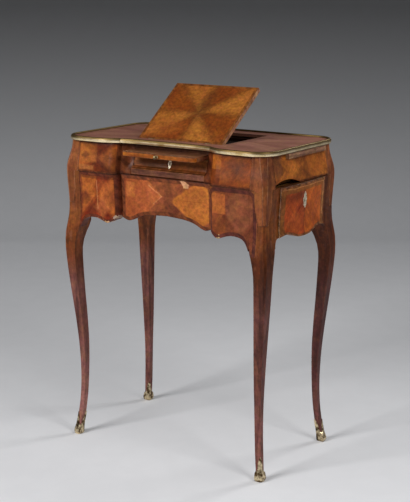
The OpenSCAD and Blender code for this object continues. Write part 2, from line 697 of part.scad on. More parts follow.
// Four rails round the well; the closed desk rests on their ledges
module well_rails() {
    lip = foot_y - tray_step + bulge(board_z) - 0.3;
    end = well_back + rail_w - 7;
    ledge_z = desk_z0 - 0.3;
    place() color(dark_veneer) union() {
        both() {
            box(rail_in, rail_out, -well_front - leaf_t - 0.1, end, well_z, ledge_z);
            box(well_half, rail_out, -tray_mid_in, end, well_z, board_z);
            box(flat_half, rail_out, -tray_mid_in, -well_front - leaf_t, well_z, board_z);
        }
        box(-rail_in, rail_in, well_back - ledge_w, end, well_z, ledge_z);
        box(-well_half, well_half, well_back, end, ledge_z - 1, board_z);
        difference() {
            union() {
                box(-flat_half, flat_half, -lip, -tray_mid_in + 1, well_z, board_z);
                box(-flat_half, flat_half, -tray_mid_in, -well_front, well_z, board_z);
            }
            hinge_pockets(-well_front - leaf_t, -well_front + 1, axis_z - leaf_h - 0.2);
        }
    }
}
module candle_slide_guides() {
    z0 = candle_z0 - 5;
    place() color(oak) both() for (e = [[-candle_front - 0.5, -1], [candle_back + 0.5, 1]]) {
        y0 = e[1] < 0 ? e[0] - 8 : e[0];
        l0 = e[1] < 0 ? e[0] - 8 : e[0] - 6;
        union() {
            box(rail_out, tray_wall_x, y0, y0 + 8, z0, board_z);
            box(rail_out, tray_wall_x, l0, l0 + 14, z0, candle_z0 - play);
        }
    }
}

// Turns a closed desk piece to its open angle
module open_desk() {
    translate([0, -hinge_f, axis_z]) rotate([desk_angle, 0, 0]) translate([0, hinge_f, -axis_z]) children();
}
module barrel(x0, x1, r = barrel_r) {
    translate([x0, -hinge_f, axis_z]) rotate([0, 90, 0]) cylinder(r = r, h = x1 - x0);
}
module pin_hole() { barrel(hinge_x - hinge_l, hinge_x + hinge_l, hinge_pin_r + pin_gap); }
knuckle = hinge_l / 4;
module desk_hinge_fixed_leaves() {
    x0 = hinge_x - hinge_l / 2;
    place() color(brass) both() difference() {
        union() {
            box(x0, x0 + hinge_l, -well_front - leaf_t, -well_front, axis_z - leaf_h,
                axis_z - barrel_r - 0.3);
            for (x = [x0, x0 + hinge_l - knuckle]) {
                barrel(x, x + knuckle);
                box(x, x + knuckle, -well_front - leaf_t, -well_front, axis_z - barrel_r - 0.5, axis_z);
            }
        }
        pin_hole();
    }
}
module desk_hinge_pins() {
    place() color(iron) both() translate([hinge_x - hinge_l / 2, -hinge_f, axis_z]) rotate([0, 90, 0])
        cylinder(r = hinge_pin_r, h = hinge_l);
}
module desk_hinge_moving_leaves() {
    x0 = hinge_x - hinge_l / 2;
    x1 = x0 + knuckle + 0.15;
    x2 = x0 + hinge_l - knuckle - 0.15;
    place() color(brass) open_desk() both() difference() {
        union() {
            box(x0, x0 + hinge_l, -desk_edge, -desk_edge + leaf_t, axis_z - leaf_h,
                axis_z - barrel_r - 0.3);
            barrel(x1, x2);
            box(x1, x2, -desk_edge, -desk_edge + leaf_t, axis_z - barrel_r - 0.5, axis_z);
        }
        pin_hole();
    }
}
module reading_desk_panel() {
    place() color("#a8662e") open_desk() difference() {
        box(-desk_w / 2, desk_w / 2, -desk_edge, -desk_edge + desk_len, desk_z0, top_z);
        both() box(hinge_x - hinge_l / 2 - 0.2, hinge_x + hinge_l / 2 + 0.2, -desk_edge - 1,
            -desk_edge + leaf_t + 0.2, desk_z0 + 1.4, top_z + 1);
    }
}
rack_s = -hinge_f + prop_d + prop_len - 35;
module desk_racks() {
    pitch = rack_len / (rack_n + 1);
    place() color(dark_veneer) open_desk() both() difference() {
        box(rack_x - rack_w, rack_x, rack_s, rack_s + rack_len, desk_z0 - rack_t, desk_z0);
        for (i = [1:rack_n]) translate([rack_x - rack_w - 1, rack_s + i * pitch, desk_z0 - rack_t - 1.2])
            rotate([0, 90, 0]) cylinder(r = bar_r, h = rack_w + 2);
    }
}

module prop_pin(r, x0, x1) {
    translate([x0, -hinge_f + prop_d, pivot_z]) rotate([0, 90, 0]) cylinder(r = r, h = x1 - x0);
}
bracket_x = prop_half + arm_w / 2 + play;
module prop_pivot_pins() {
    place() color(iron) both() prop_pin(pivot_r, prop_half - arm_w / 2 - 1, bracket_x + bracket_t + 0.5);
}
// Angle brackets on the well floor that hold the pivot pins
module prop_brackets() {
    y = -hinge_f + prop_d;
    half = bar_r + 2;
    foot = bracket_t * 3;
    place() color(iron) both() difference() {
        union() {
            box(bracket_x, bracket_x + bracket_t, y - half, y + half, well_z, pivot_z + bar_r + 0.6);
            box(bracket_x, bracket_x + foot, y - half, y + half, well_z, well_z + pivot_r);
        }
        prop_pin(pivot_r + 0.02, bracket_x - 1, bracket_x + bracket_t + 1);
    }
}
// Frame of two arms and a head bar, turned up from the well floor
module desk_prop() {
    place() color(iron) difference() {
        translate([0, -hinge_f + prop_d, pivot_z]) rotate([prop_angle, 0, 0]) union() {
            both() {
                box(prop_half - arm_w / 2, prop_half + arm_w / 2, 0, prop_len, -bar_r, bar_r);
                translate([prop_half - arm_w / 2, 0, 0]) rotate([0, 90, 0])
                    cylinder(r = bar_r + 0.2, h = arm_w);
            }
            translate([-bar_half, prop_len, 0]) rotate([0, 90, 0]) cylinder(r = bar_r, h = 2 * bar_half);
        }
        both() prop_pin(pivot_r + pin_gap, prop_half - arm_w, prop_half + arm_w);
    }
}

module writing_slide() {
    end = slide_d - slide_f;
    x = drawer_half - slide_r;
    place() color(top_veneer) translate([0, 0, slide_z0]) linear_extrude(slide_t) polygon(concat(
        [[drawer_half, end], [-drawer_half, end]], arc(-x, slide_r - slide_f, slide_r, 180, 270, 5),
        arc(x, slide_r - slide_f, slide_r, 270, 360, 5)));
}
module writing_slide_knob() {
    neck = knob_r * 0.4;
    ball = [for (t = levels(-acos(neck / knob_r), 90, 9))
        [max(0, knob_r * cos(t)), knob_l - knob_r + knob_r * sin(t)]];
    place() color(brass) translate([0, -slide_f, (slide_z0 + slide_z1) / 2]) rotate([90, 0, 0])
        rotate_extrude() polygon(concat([[0, 0], [knob_r * 0.7, 0], [knob_r * 0.7, 1], [neck, 2]], ball));
}

module on_front() {
    z = (drawer_z0 + drawer_z1) / 2 + 1;
    tilt = atan((bulge(z - 8) - bulge(z + 8)) / 16);
    translate([0, -(foot_y - tray_step + bulge(z)), z]) rotate([90 - tilt, 0, 0]) children();
}
module front_drawer_front() {
    zs = concat(levels(drawer_z0, drawer_z0 + flare_h, 5), levels(drawer_z0 + flare_h + 5, drawer_z1, 3));
    profile = [for (z = zs) [foot_y - tray_step + bulge(z) + flare_at(z), z]];
    place() color(veneer) difference() {
        to_front() along_x(drawer_half, concat([[tray_mid_in, drawer_z0]], profile,
            [[tray_mid_in, drawer_z1]]));
        on_front() translate([0, 0, -plate_t]) linear_extrude(10) plate_outline(front_plate_h);
        on_front() key_cut(0);
    }
}
module front_drawer_escutcheon() {
    place() color(brass) on_front() translate([0, 0, -plate_t]) linear_extrude(plate_t + 0.5) difference() {
        plate_outline(front_plate_h);
        key_outline(0);
    }
}
drawer_end = drawer_in - tray_mid_in;
module front_drawer_sides() {
    place() color(oak) both() box(drawer_half - lining_t, drawer_half, -tray_mid_in, drawer_end + lining_t,
        drawer_z0 + 0.5, drawer_z1 - 3);
}
module front_drawer_back() {
    w = drawer_half - lining_t;
    place() color(oak) box(-w, w, drawer_end, drawer_end + lining_t, drawer_z0 + 1, drawer_z1 - 6);
}
module front_drawer_bottom() {
    w = drawer_half - lining_t;
    place() color(oak) box(-w, w, -tray_mid_in, drawer_end, drawer_z0 + 1, drawer_z0 + 4);
}
module front_drawer_lock() {
    place() color(iron) difference() {
        box(-14, 14, -tray_mid_in, -tray_mid_in + 7, drawer_z0 + 6, drawer_z1 - 1);
        on_front() key_cut(0.2);
    }
}
module candle_slide() {
    face = foot_x + bulge(candle_z0 + candle_t / 2) + 1 + candle_out;
    inner = rail_out + candle_stop + candle_out;
    color(veneer) box(inner, face, -candle_front, candle_back, candle_z0, candle_z1);
}
module candle_slide_right() { place() candle_slide(); }
module candle_slide_left() { place() to_left() candle_slide(); }

leg_front_left();
leg_front_right();
leg_back_left();
leg_back_right();
sabot_front_left();
sabot_front_right();
sabot_back_left();
sabot_back_right();
front_centre_panel();
front_left_panel();
front_right_panel();
back_panel();
left_side_panel();
stand_top_board();
side_drawer_runners();
right_lower_rail();
side_drawer_front();
side_drawer_sides();
side_drawer_back();
side_drawer_bottom();
side_drawer_escutcheon();
side_drawer_lock();
tray_top_board();
rim_front();
rim_left();
rim_right();
tray_frieze_front_left();
tray_frieze_front_right();
tray_frieze_left();
tray_frieze_right();
tray_frieze_back();
tray_leg_front_left();
tray_leg_front_right();
tray_leg_back_left();
tray_leg_back_right();
tray_bottom_board();
tray_divider_board();
writing_slide_guides();
front_drawer_guides();
well_floor();
well_rails();
candle_slide_guides();
desk_hinge_fixed_leaves();
desk_hinge_pins();
prop_brackets();
prop_pivot_pins();
reading_desk_panel();
desk_racks();
desk_hinge_moving_leaves();
desk_prop();
writing_slide();
writing_slide_knob();
front_drawer_front();
front_drawer_sides();
front_drawer_back();
front_drawer_bottom();
front_drawer_escutcheon();
front_drawer_lock();
candle_slide_left();
candle_slide_right();
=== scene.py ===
import json
import math
import bmesh
import bpy
from mathutils import Matrix, Vector


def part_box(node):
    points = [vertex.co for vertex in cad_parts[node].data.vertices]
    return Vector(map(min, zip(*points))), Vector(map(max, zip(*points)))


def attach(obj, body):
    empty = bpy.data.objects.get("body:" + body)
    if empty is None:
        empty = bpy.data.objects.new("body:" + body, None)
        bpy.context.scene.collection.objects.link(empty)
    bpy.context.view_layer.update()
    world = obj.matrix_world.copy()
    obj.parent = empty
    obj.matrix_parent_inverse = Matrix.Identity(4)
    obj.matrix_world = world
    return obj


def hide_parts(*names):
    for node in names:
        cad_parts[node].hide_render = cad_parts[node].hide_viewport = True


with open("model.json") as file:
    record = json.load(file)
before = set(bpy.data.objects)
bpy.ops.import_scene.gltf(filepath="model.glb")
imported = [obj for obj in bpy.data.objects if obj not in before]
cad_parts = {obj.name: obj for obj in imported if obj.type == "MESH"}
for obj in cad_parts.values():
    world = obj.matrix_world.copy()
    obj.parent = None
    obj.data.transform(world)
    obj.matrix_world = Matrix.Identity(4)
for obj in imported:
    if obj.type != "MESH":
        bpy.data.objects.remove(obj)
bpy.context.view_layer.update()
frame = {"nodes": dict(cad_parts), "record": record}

# middle of the table in the frame, taken from the legs
footBoxes = [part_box("leg_front_left"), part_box("leg_back_right")]
midX = (footBoxes[0][0].x + footBoxes[1][1].x) / 2
midY = (footBoxes[0][0].y + footBoxes[1][1].y) / 2
record = frame["record"]
bodyOf = {n: b for b, names in record["behaviour"]["bodies"].items() for n in names}
slotOf = {part["node"]: part["material_slot"] for part in record["subparts"]}
nodes = frame["nodes"]
corners = ("front_left", "front_right", "back_left", "back_right")
standTop, rimBase = 0.640, 0.709  # heights of the stand's top and of the rim's lower edge


def colour(text):  # "a5602c" as linear colour
    parts = [int(text[i:i + 2], 16) / 255 for i in (0, 2, 4)]
    return [p / 12.92 if p <= 0.04045 else ((p + 0.055) / 1.055) ** 2.4 for p in parts] + [1]


# helpers that add shader nodes
def feed(tree, target, value):
    if isinstance(value, bpy.types.NodeSocket):
        tree.links.new(value, target)
    elif isinstance(value, str):
        target.default_value = colour(value)
    else:
        target.default_value = value


def addNode(tree, kind, inputs=None, **props):
    made = tree.nodes.new("ShaderNode" + kind)
    for key, value in props.items():
        setattr(made, key, value)
    for key, value in (inputs or {}).items():
        feed(tree, made.inputs[key], value)
    return made


def calc(tree, operation, *values):
    made = tree.nodes.new("ShaderNodeMath")
    made.operation = operation
    for i, value in enumerate(values):
        feed(tree, made.inputs[i], value)
    return made.outputs[0]


def least(tree, *values):
    out = values[0]
    for value in values[1:]:
        out = calc(tree, "MINIMUM", out, value)
    return out


def smooth(tree, value, low, high, toLow=0.0, toHigh=1.0):
    made = addNode(tree, "MapRange", interpolation_type="SMOOTHSTEP")
    items = {"Value": value, "From Min": low, "From Max": high, "To Min": toLow, "To Max": toHigh}
    for key, item in items.items():
        feed(tree, made.inputs[key], item)
    return made.outputs[0]


def blend(tree, factor, a, b, how="MIX"):
    made = tree.nodes.new("ShaderNodeMix")
    made.data_type = "RGBA"
    made.blend_type = how
    for index, value in ((0, factor), (6, a), (7, b)):
        feed(tree, made.inputs[index], value)
    return made.outputs[2]


def noise(tree, vector, scale, detail=3.0, rough=0.55, distortion=0.0):
    return addNode(tree, "TexNoise", {
        "Vector": vector, "Scale": scale, "Detail": detail, "Roughness": rough,
        "Distortion": distortion}).outputs["Fac"]


def vector(tree, x, y, z):
    return addNode(tree, "CombineXYZ", {0: x, 1: y, 2: z}).outputs[0]


def place(tree):  # object coordinates as three numbers, measured from the middle of the table
    parts = addNode(tree, "SeparateXYZ", {0: addNode(tree, "TexCoord").outputs["Object"]}).outputs
    return calc(tree, "SUBTRACT", parts[0], midX), calc(tree, "SUBTRACT", parts[1], midY), parts[2]


def turned(tree, u, v, degrees):  # distances along and across a direction
    c, s = math.cos(math.radians(degrees)), math.sin(math.radians(degrees))
    return (calc(tree, "MULTIPLY_ADD", u, c, calc(tree, "MULTIPLY", v, s)),
            calc(tree, "MULTIPLY_ADD", u, -s, calc(tree, "MULTIPLY", v, c)))


def startMaterial(name):
    made = bpy.data.materials.new(name)
    made.use_nodes = True
    return made, made.node_tree, made.node_tree.nodes["Principled BSDF"]


def addBump(tree, shader, height, distance, strength=1.0):
    bump = addNode(tree, "Bump", {"Height": height, "Distance": distance, "Strength": strength})
    feed(tree, shader.inputs["Normal"], bump.outputs[0])


# every old polished wood; a wood of its own can name its roughness, specular, mottle, tone and fade
# the darkening colour is the painted shade at the tray's seam and under the rim
woodFinish = dict(roughness=0.36, specular=0.14, coat=0.03, coatRoughness=0.2, mottle=0.24,
                  tone=(0.9, 0.78, 0.5), fade="b39a90", specks="351b12", dirt="24110b", patinaScale=13,
                  cloudScale=130, hueScale=62, speckScale=260, waveScale=32)


def finishWood(tree, shader, tint, fibre, spec):  # patina, painted shade at the tray's seam and under the rim, gloss and relief of old polished wood
    x, y, z = place(tree)
    where = vector(tree, x, y, z)
    patina = noise(tree, where, woodFinish["patinaScale"], 3)
    tint = blend(tree, smooth(tree, patina, 0.36, 0.7, 0.0, 0.5), tint,
                 blend(tree, 1.0, tint, spec.get("fade", woodFinish["fade"]), "MULTIPLY"))
    cloud = noise(tree, where, woodFinish["cloudScale"], 4, 0.72)
    mottle = spec.get("mottle", woodFinish["mottle"])
    light = smooth(tree, cloud, 0.34, 0.66, 1.0 - mottle, 1.0 + mottle)
    drift = noise(tree, where, woodFinish["hueScale"], 3, 0.7)
    hue = smooth(tree, drift, 0.35, 0.65, -0.07, 0.07)  # redder here, browner there
    red, green, blue = spec.get("tone", woodFinish["tone"])
    cast = vector(tree, calc(tree, "MULTIPLY", light, red),
                  calc(tree, "MULTIPLY", light, calc(tree, "MULTIPLY_ADD", hue, green, green)),
                  calc(tree, "MULTIPLY", light, calc(tree, "MULTIPLY_ADD", hue, -blue, blue)))
    tint = blend(tree, 1.0, tint, cast, "MULTIPLY")
    specks = noise(tree, where, woodFinish["speckScale"], 2)
    tint = blend(tree, smooth(tree, specks, 0.62, 0.76, 0.0, 0.45), tint, woodFinish["specks"])
    if spec.get("dirt", True):  # painted shade: dark lines in the gap where the tray sits on the stand, and a painted shadow under the rim
        gap = calc(tree, "ABSOLUTE", calc(tree, "SUBTRACT", z, standTop))
        tint = blend(tree, smooth(tree, gap, 0.0006, 0.0036, 0.5, 0.0), tint, woodFinish["dirt"])
        under = calc(tree, "SUBTRACT", rimBase, z)
        shade = calc(tree, "MULTIPLY", smooth(tree, under, 0.0, 0.012, 0.6, 0.0),
                     smooth(tree, under, -0.0004, 0.0))
        tint = blend(tree, shade, tint, woodFinish["dirt"])
    feed(tree, shader.inputs["Base Color"], tint)
    rough = calc(tree, "MULTIPLY_ADD", fibre, 0.14, spec.get("roughness", woodFinish["roughness"]) - 0.08)
    feed(tree, shader.inputs["Roughness"], calc(tree, "MULTIPLY_ADD", patina, 0.16, rough))
    shader.inputs["Specular IOR Level"].default_value = spec.get("specular", woodFinish["specular"])
    shader.inputs["Coat Weight"].default_value = woodFinish["coat"]
    shader.inputs["Coat Roughness"].default_value = woodFinish["coatRoughness"]
    waves = noise(tree, where, woodFinish["waveScale"], 2)
    addBump(tree, shader, calc(tree, "MULTIPLY_ADD", fibre, 0.1, waves), 0.0018, 0.55)


def grain(tree, along, across, light, dark, seed=0.0, stripe=34):
    line = vector(tree, calc(tree, "MULTIPLY", along, 0.12), across, seed)
    broad = noise(tree, line, stripe, 2, 0.5, 0.35)
    fine = noise(tree, line, 300, 3, 0.6)
    mixed = calc(tree, "MULTIPLY_ADD", fine, 0.35, calc(tree, "MULTIPLY", broad, 0.8))
    return blend(tree, smooth(tree, mixed, 0.34, 0.8), dark, light), fine


def inside(tree, u, v, leaf):  # distance inside a leaf of veneer, in metres
    a, b, c, d = leaf["at"]
    if leaf["shape"] == "box":  # low u, high u, low v, high v
        return least(tree, calc(tree, "SUBTRACT", u, a), calc(tree, "SUBTRACT", b, u),
                     calc(tree, "SUBTRACT", v, c), calc(tree, "SUBTRACT", d, v))
    du, dv = calc(tree, "SUBTRACT", u, a), calc(tree, "SUBTRACT", v, b)
    if leaf["shape"] == "line":  # from (a, b) to (c, d)
        along, across = turned(tree, du, dv, math.degrees(math.atan2(d - b, c - a)))
        rest = calc(tree, "SUBTRACT", leaf["width"] / 2, calc(tree, "ABSOLUTE", across))
        return least(tree, along, calc(tree, "SUBTRACT", math.hypot(c - a, d - b), along), rest)
    du, dv = turned(tree, du, dv, leaf.get("tilt", 0.0))
    du, dv = calc(tree, "DIVIDE", du, c), calc(tree, "DIVIDE", dv, d)
    if leaf["shape"] == "kite":  # middle u, middle v, half width, half height
        reach = calc(tree, "ADD", calc(tree, "ABSOLUTE", du), calc(tree, "ABSOLUTE", dv))
    else:
        reach = calc(tree, "SQRT", calc(tree, "MULTIPLY_ADD", du, du, calc(tree, "MULTIPLY", dv, dv)))
    return calc(tree, "MULTIPLY", calc(tree, "SUBTRACT", 1.0, reach), min(c, d))


planes = {"front": (0, 2), "side": (1, 2), "top": (0, 1)}
bandDark, bandLight = "4c251b", "774534"
veneerFinish = dict(warp=0.009, wobble=44, joint="4a2416", line="2c130c", band=0.009)


def bandGap(tree, u, v, across, spec):  # distance from the edge of a panel's field, inwards
    halfU, halfV = spec["half"]
    gapU = calc(tree, "SUBTRACT", halfU, calc(tree, "ABSOLUTE", u))
    gapTop = calc(tree, "SUBTRACT", spec.get("top", halfV), v)
    gap = calc(tree, "MINIMUM", gapU, gapTop)
    if "round" in spec:  # upper corners are round
        r = spec["round"]
        sides = [calc(tree, "MAXIMUM", calc(tree, "SUBTRACT", r, g), 0.0) for g in (gapU, gapTop)]
        reach = calc(tree, "MULTIPLY_ADD", sides[0], sides[0], calc(tree, "MULTIPLY", sides[1], sides[1]))
        gap = calc(tree, "SUBTRACT", r, calc(tree, "SQRT", reach))
    if "apron" in spec:  # follows the lower edge
        start, end, table = spec["apron"]
        share = calc(tree, "SUBTRACT", calc(tree, "ABSOLUTE", across), start)
        share = calc(tree, "DIVIDE", share, end - start)
        curve = addNode(tree, "FloatCurve", {"Value": share})
        points = curve.mapping.curves[0].points
        for i, (at, drop) in enumerate(table):
            if 0 < i < len(table) - 1:
                points.new(at, drop / 200)
            else:
                points[0 if i == 0 else len(points) - 1].location = (at, drop / 200)
        curve.mapping.update()
        low = calc(tree, "MULTIPLY_ADD", curve.outputs[0], -0.2, standTop - spec["centre"][1])
        return least(tree, gap, calc(tree, "SUBTRACT", v, low))
    return least(tree, gap, calc(tree, "ADD", halfV, v))


def veneer(name, spec):  # a panel of matched leaves inside a crossbanded border
    made, tree, shader = startMaterial(name)
    axes = place(tree)
    where = vector(tree, *axes)
    first, second = planes[spec["plane"]]
    u = calc(tree, "SUBTRACT", axes[first], spec["centre"][0])
    v = calc(tree, "SUBTRACT", axes[second], spec["centre"][1])
    gap = bandGap(tree, u, v, axes[first], spec)
    wobble = addNode(tree, "TexNoise", {"Vector": where, "Scale": veneerFinish["wobble"], "Detail": 4,
                                       "Roughness": 0.7}).outputs["Color"]
    drift = addNode(tree, "SeparateXYZ", {0: wobble}).outputs
    warp = veneerFinish["warp"]
    u = calc(tree, "MULTIPLY_ADD", calc(tree, "SUBTRACT", drift[0], 0.5), warp, u)
    v = calc(tree, "MULTIPLY_ADD", calc(tree, "SUBTRACT", drift[1], 0.5), warp, v)
    halfU, halfV = spec["half"]
    absU, absV = calc(tree, "ABSOLUTE", u), calc(tree, "ABSOLUTE", v)
    kind, seam = spec["pattern"], spec.get("joint", veneerFinish["joint"])
    if kind == "plain":
        along, over = turned(tree, u, v, spec.get("turn", 0))
    elif kind == "burst":
        turn = calc(tree, "ARCTAN2", v, u)
        fold = calc(tree, "PINGPONG", turn, math.pi / 8)
        radius = calc(tree, "SQRT", calc(tree, "MULTIPLY_ADD", u, u, calc(tree, "MULTIPLY", v, v)))
        along = calc(tree, "MULTIPLY", radius, calc(tree, "COSINE", fold))
        over = calc(tree, "MULTIPLY", radius, calc(tree, "SINE", fold))
    else:
        along, over = turned(tree, absU, absV, spec.get("turn", 42))
    tint, fibre = grain(tree, along, over, spec["light"], spec["dark"], spec.get("seed", 0.0),
                        spec.get("stripe", 34))
    if kind == "cross":  # leaves that meet on the diagonals catch the light differently
        slant = calc(tree, "SUBTRACT", calc(tree, "DIVIDE", absU, halfU), calc(tree, "DIVIDE", absV, halfV))
        shaded = blend(tree, 1.0, tint, spec["shade"], "MULTIPLY")
        tint = blend(tree, smooth(tree, slant, -0.25, 0.25), shaded, tint)
        tint = blend(tree, smooth(tree, calc(tree, "ABSOLUTE", slant), 0.0, 0.03, 0.3, 0.0), tint, seam)
    if kind == "burst":  # eight leaves, every other one painted darker as a painted sheen, as if turned away from the light
        wave = calc(tree, "SINE", calc(tree, "MULTIPLY", turn, 4.0))
        shaded = blend(tree, 1.0, tint, spec["shade"], "MULTIPLY")
        tint = blend(tree, smooth(tree, wave, -0.8, 0.8), shaded, tint)
        joint = calc(tree, "MULTIPLY", calc(tree, "PINGPONG", turn, math.pi / 8), radius)
        tint = blend(tree, smooth(tree, joint, 0.0, 0.0012, 0.5, 0.0), tint, seam)
        tint = blend(tree, smooth(tree, radius, 0.004, 0.045, 0.55, 0.0), tint, seam)
    elif kind != "plain":
        joint = absU if kind == "quarter" else least(tree, absU, absV)
        tint = blend(tree, smooth(tree, joint, 0.0, 0.0009, 0.4, 0.0), tint, seam)
    for i, leaf in enumerate(spec.get("leaves", ())):  # single leaves laid over the pattern
        soft = leaf.get("soft", 0.0012)
        cover = smooth(tree, inside(tree, u, v, leaf), -soft, soft, 0.0, leaf.get("amount", 1.0))
        if "dark" in leaf:
            along, over = turned(tree, u, v, leaf.get("turn", 0))
            fill, _ = grain(tree, along, over, leaf["light"], leaf["dark"], 3.1 + i, 40)
        else:
            fill = leaf["light"]
        tint = blend(tree, cover, tint, fill)
    width, dark, light = spec.get("band", (veneerFinish["band"], bandDark, bandLight))
    banding, _ = grain(tree, gap, calc(tree, "ADD", u, v), light, dark, 7.7, 70)
    tint = blend(tree, smooth(tree, gap, width - 0.0012, width + 0.0006, 1.0, 0.0), tint, banding)
    line = calc(tree, "SUBTRACT", 0.0008, calc(tree, "ABSOLUTE", calc(tree, "SUBTRACT", gap, width)))
    dark = spec.get("line", veneerFinish["line"])
    tint = blend(tree, smooth(tree, line, 0.0, 0.0008, 0.0, 0.5), tint, dark)
    if "outside" in spec:  # the post that the field's corner cuts into
        post, _ = grain(tree, axes[2], axes[0], spec["outside"][0], spec["outside"][1], 2.2, 60)
        tint = blend(tree, smooth(tree, gap, -0.0005, 0.0008), post, tint)
    for chip in spec.get("chips", ()):  # bare wood where veneer is lost
        edge = calc(tree, "MULTIPLY_ADD", noise(tree, where, 190, 3), 0.012, inside(tree, u, v, chip))
        tint = blend(tree, smooth(tree, edge, 0.0062, 0.0072), tint, chip["light"])
    finishWood(tree, shader, tint, fibre, spec)
    return made


def plainWood(name, light, dark, axis="z", stripe=30, **spec):
    made, tree, shader = startMaterial(name)
    x, y, z = place(tree)
    along, side, deep = {"z": (z, x, y), "x": (x, y, z), "y": (y, x, z)}[axis]
    line = vector(tree, calc(tree, "MULTIPLY", along, 0.1), side, deep)
    broad = noise(tree, line, stripe, 3, 0.55, 0.3)
    fine = noise(tree, line, 260, 3, 0.6)
    mixed = calc(tree, "MULTIPLY_ADD", fine, 0.35, calc(tree, "MULTIPLY", broad, 0.8))
    finishWood(tree, shader, blend(tree, smooth(tree, mixed, 0.36, 0.78), dark, light), fine, spec)
    return made


def rimMetal(name, s):  # pale worn brass, with painted shade darkening its upper half towards the top
    made, tree, shader = startMaterial(name)
    x, y, z = place(tree)
    where = vector(tree, x, y, z)
    wear = noise(tree, where, 30, 4, 0.6)
    fine = noise(tree, where, 420, 2, 0.5)
    tint = blend(tree, smooth(tree, wear, 0.35, 0.7), s["light"], s["dull"])
    worn = calc(tree, "MULTIPLY_ADD", wear, 0.0016, z)
    # painted shade: above turnZ the rim turns to its darker top colour
    top = smooth(tree, worn, s["turnZ"] - 0.0014, s["turnZ"] + 0.001)
    tint = blend(tree, top, tint, s["upperShade"])
    # darker along the foot of the moulding
    foot = smooth(tree, z, s["footZ"], s["footZ"] + 0.0016, 0.75, 0.0)
    tint = blend(tree, foot, tint, s["grime"])
    tint = blend(tree, smooth(tree, fine, 0.55, 0.75, 0.0, 0.35), tint, s["grime"])
    feed(tree, shader.inputs["Base Color"], tint)
    shader.inputs["Metallic"].default_value = 1.0
    feed(tree, shader.inputs["Roughness"], calc(tree, "MULTIPLY_ADD", top, 0.2, s["roughness"]))
    addBump(tree, shader, wear, 0.00012, 0.35)
    return made


def metal(name, light, dark, roughness=0.3, grime="2c2114", scale=90, dirt=0.7, bump=0.0004,
          low=0.35, high=0.65):
    made, tree, shader = startMaterial(name)
    where = vector(tree, *place(tree))
    wear = noise(tree, where, scale, 4, 0.6)
    tint = blend(tree, smooth(tree, wear, low, high), light, dark)
    stain = noise(tree, where, scale * 0.35, 3)
    tint = blend(tree, smooth(tree, stain, 0.56, 0.72, 0.0, dirt), tint, grime)
    feed(tree, shader.inputs["Base Color"], tint)
    shader.inputs["Metallic"].default_value = 1.0
    feed(tree, shader.inputs["Roughness"], calc(tree, "MULTIPLY_ADD", wear, 0.2, roughness - 0.1))
    addBump(tree, shader, wear, bump, 0.35)
    return made


# brown knees that turn to plum towards the foot
def legWood(name, knees=("4c240c", "86441c"), tone=(1.0, 1.0, 0.95)):
    made, tree, shader = startMaterial(name)
    x, y, z = place(tree)
    line = vector(tree, x, y, calc(tree, "MULTIPLY", z, 0.09))
    broad = noise(tree, line, 70, 3, 0.55, 0.2)
    fine = noise(tree, line, 320, 3, 0.6)
    mixed = calc(tree, "MULTIPLY_ADD", fine, 0.35, calc(tree, "MULTIPLY", broad, 0.8))
    mixed = smooth(tree, mixed, 0.36, 0.78)
    foot = blend(tree, mixed, "623834", "a06c64")
    shin = blend(tree, mixed, "4e2c28", "825048")
    knee = blend(tree, mixed, *knees)
    post = blend(tree, mixed, "5e3016", "945428")
    tint = blend(tree, smooth(tree, z, 0.06, 0.26), foot, shin)
    tint = blend(tree, smooth(tree, z, 0.36, 0.46), tint, knee)
    tint = blend(tree, smooth(tree, z, 0.48, 0.56), tint, post)
    ridge = noise(tree, vector(tree, x, y, calc(tree, "MULTIPLY", z, 0.3)), 90, 2)
    tint = blend(tree, smooth(tree, ridge, 0.55, 0.7, 0.0, 0.35), tint, "96604a")
    finishWood(tree, shader, tint, fine, {"roughness": 0.34, "dirt": False, "tone": tone})
    return made


# lower edges of the panels: share of the way outwards, millimetres below the stand's top
centreApron = [(0, 84), (0.3, 86), (0.53, 90), (0.67, 96), (0.76, 101.5), (0.84, 104.3), (0.92, 102.5),
               (1, 98)]
outerApron = [(0, 97), (0.07, 100.5), (0.14, 106), (0.21, 110.5), (0.28, 111.5), (0.36, 108.5),
              (0.48, 104.5), (0.6, 102.5), (0.79, 105), (0.89, 111), (0.96, 122), (1, 130)]
sideApron = [(0, 116), (0.3, 114), (0.55, 106), (0.72, 103.5), (0.88, 105), (1, 107)]
backApron = [(0, 92), (0.3, 96), (0.5, 104), (0.75, 102), (0.9, 108), (1, 126)]
postColours = ("a86a42", "6a3a22")
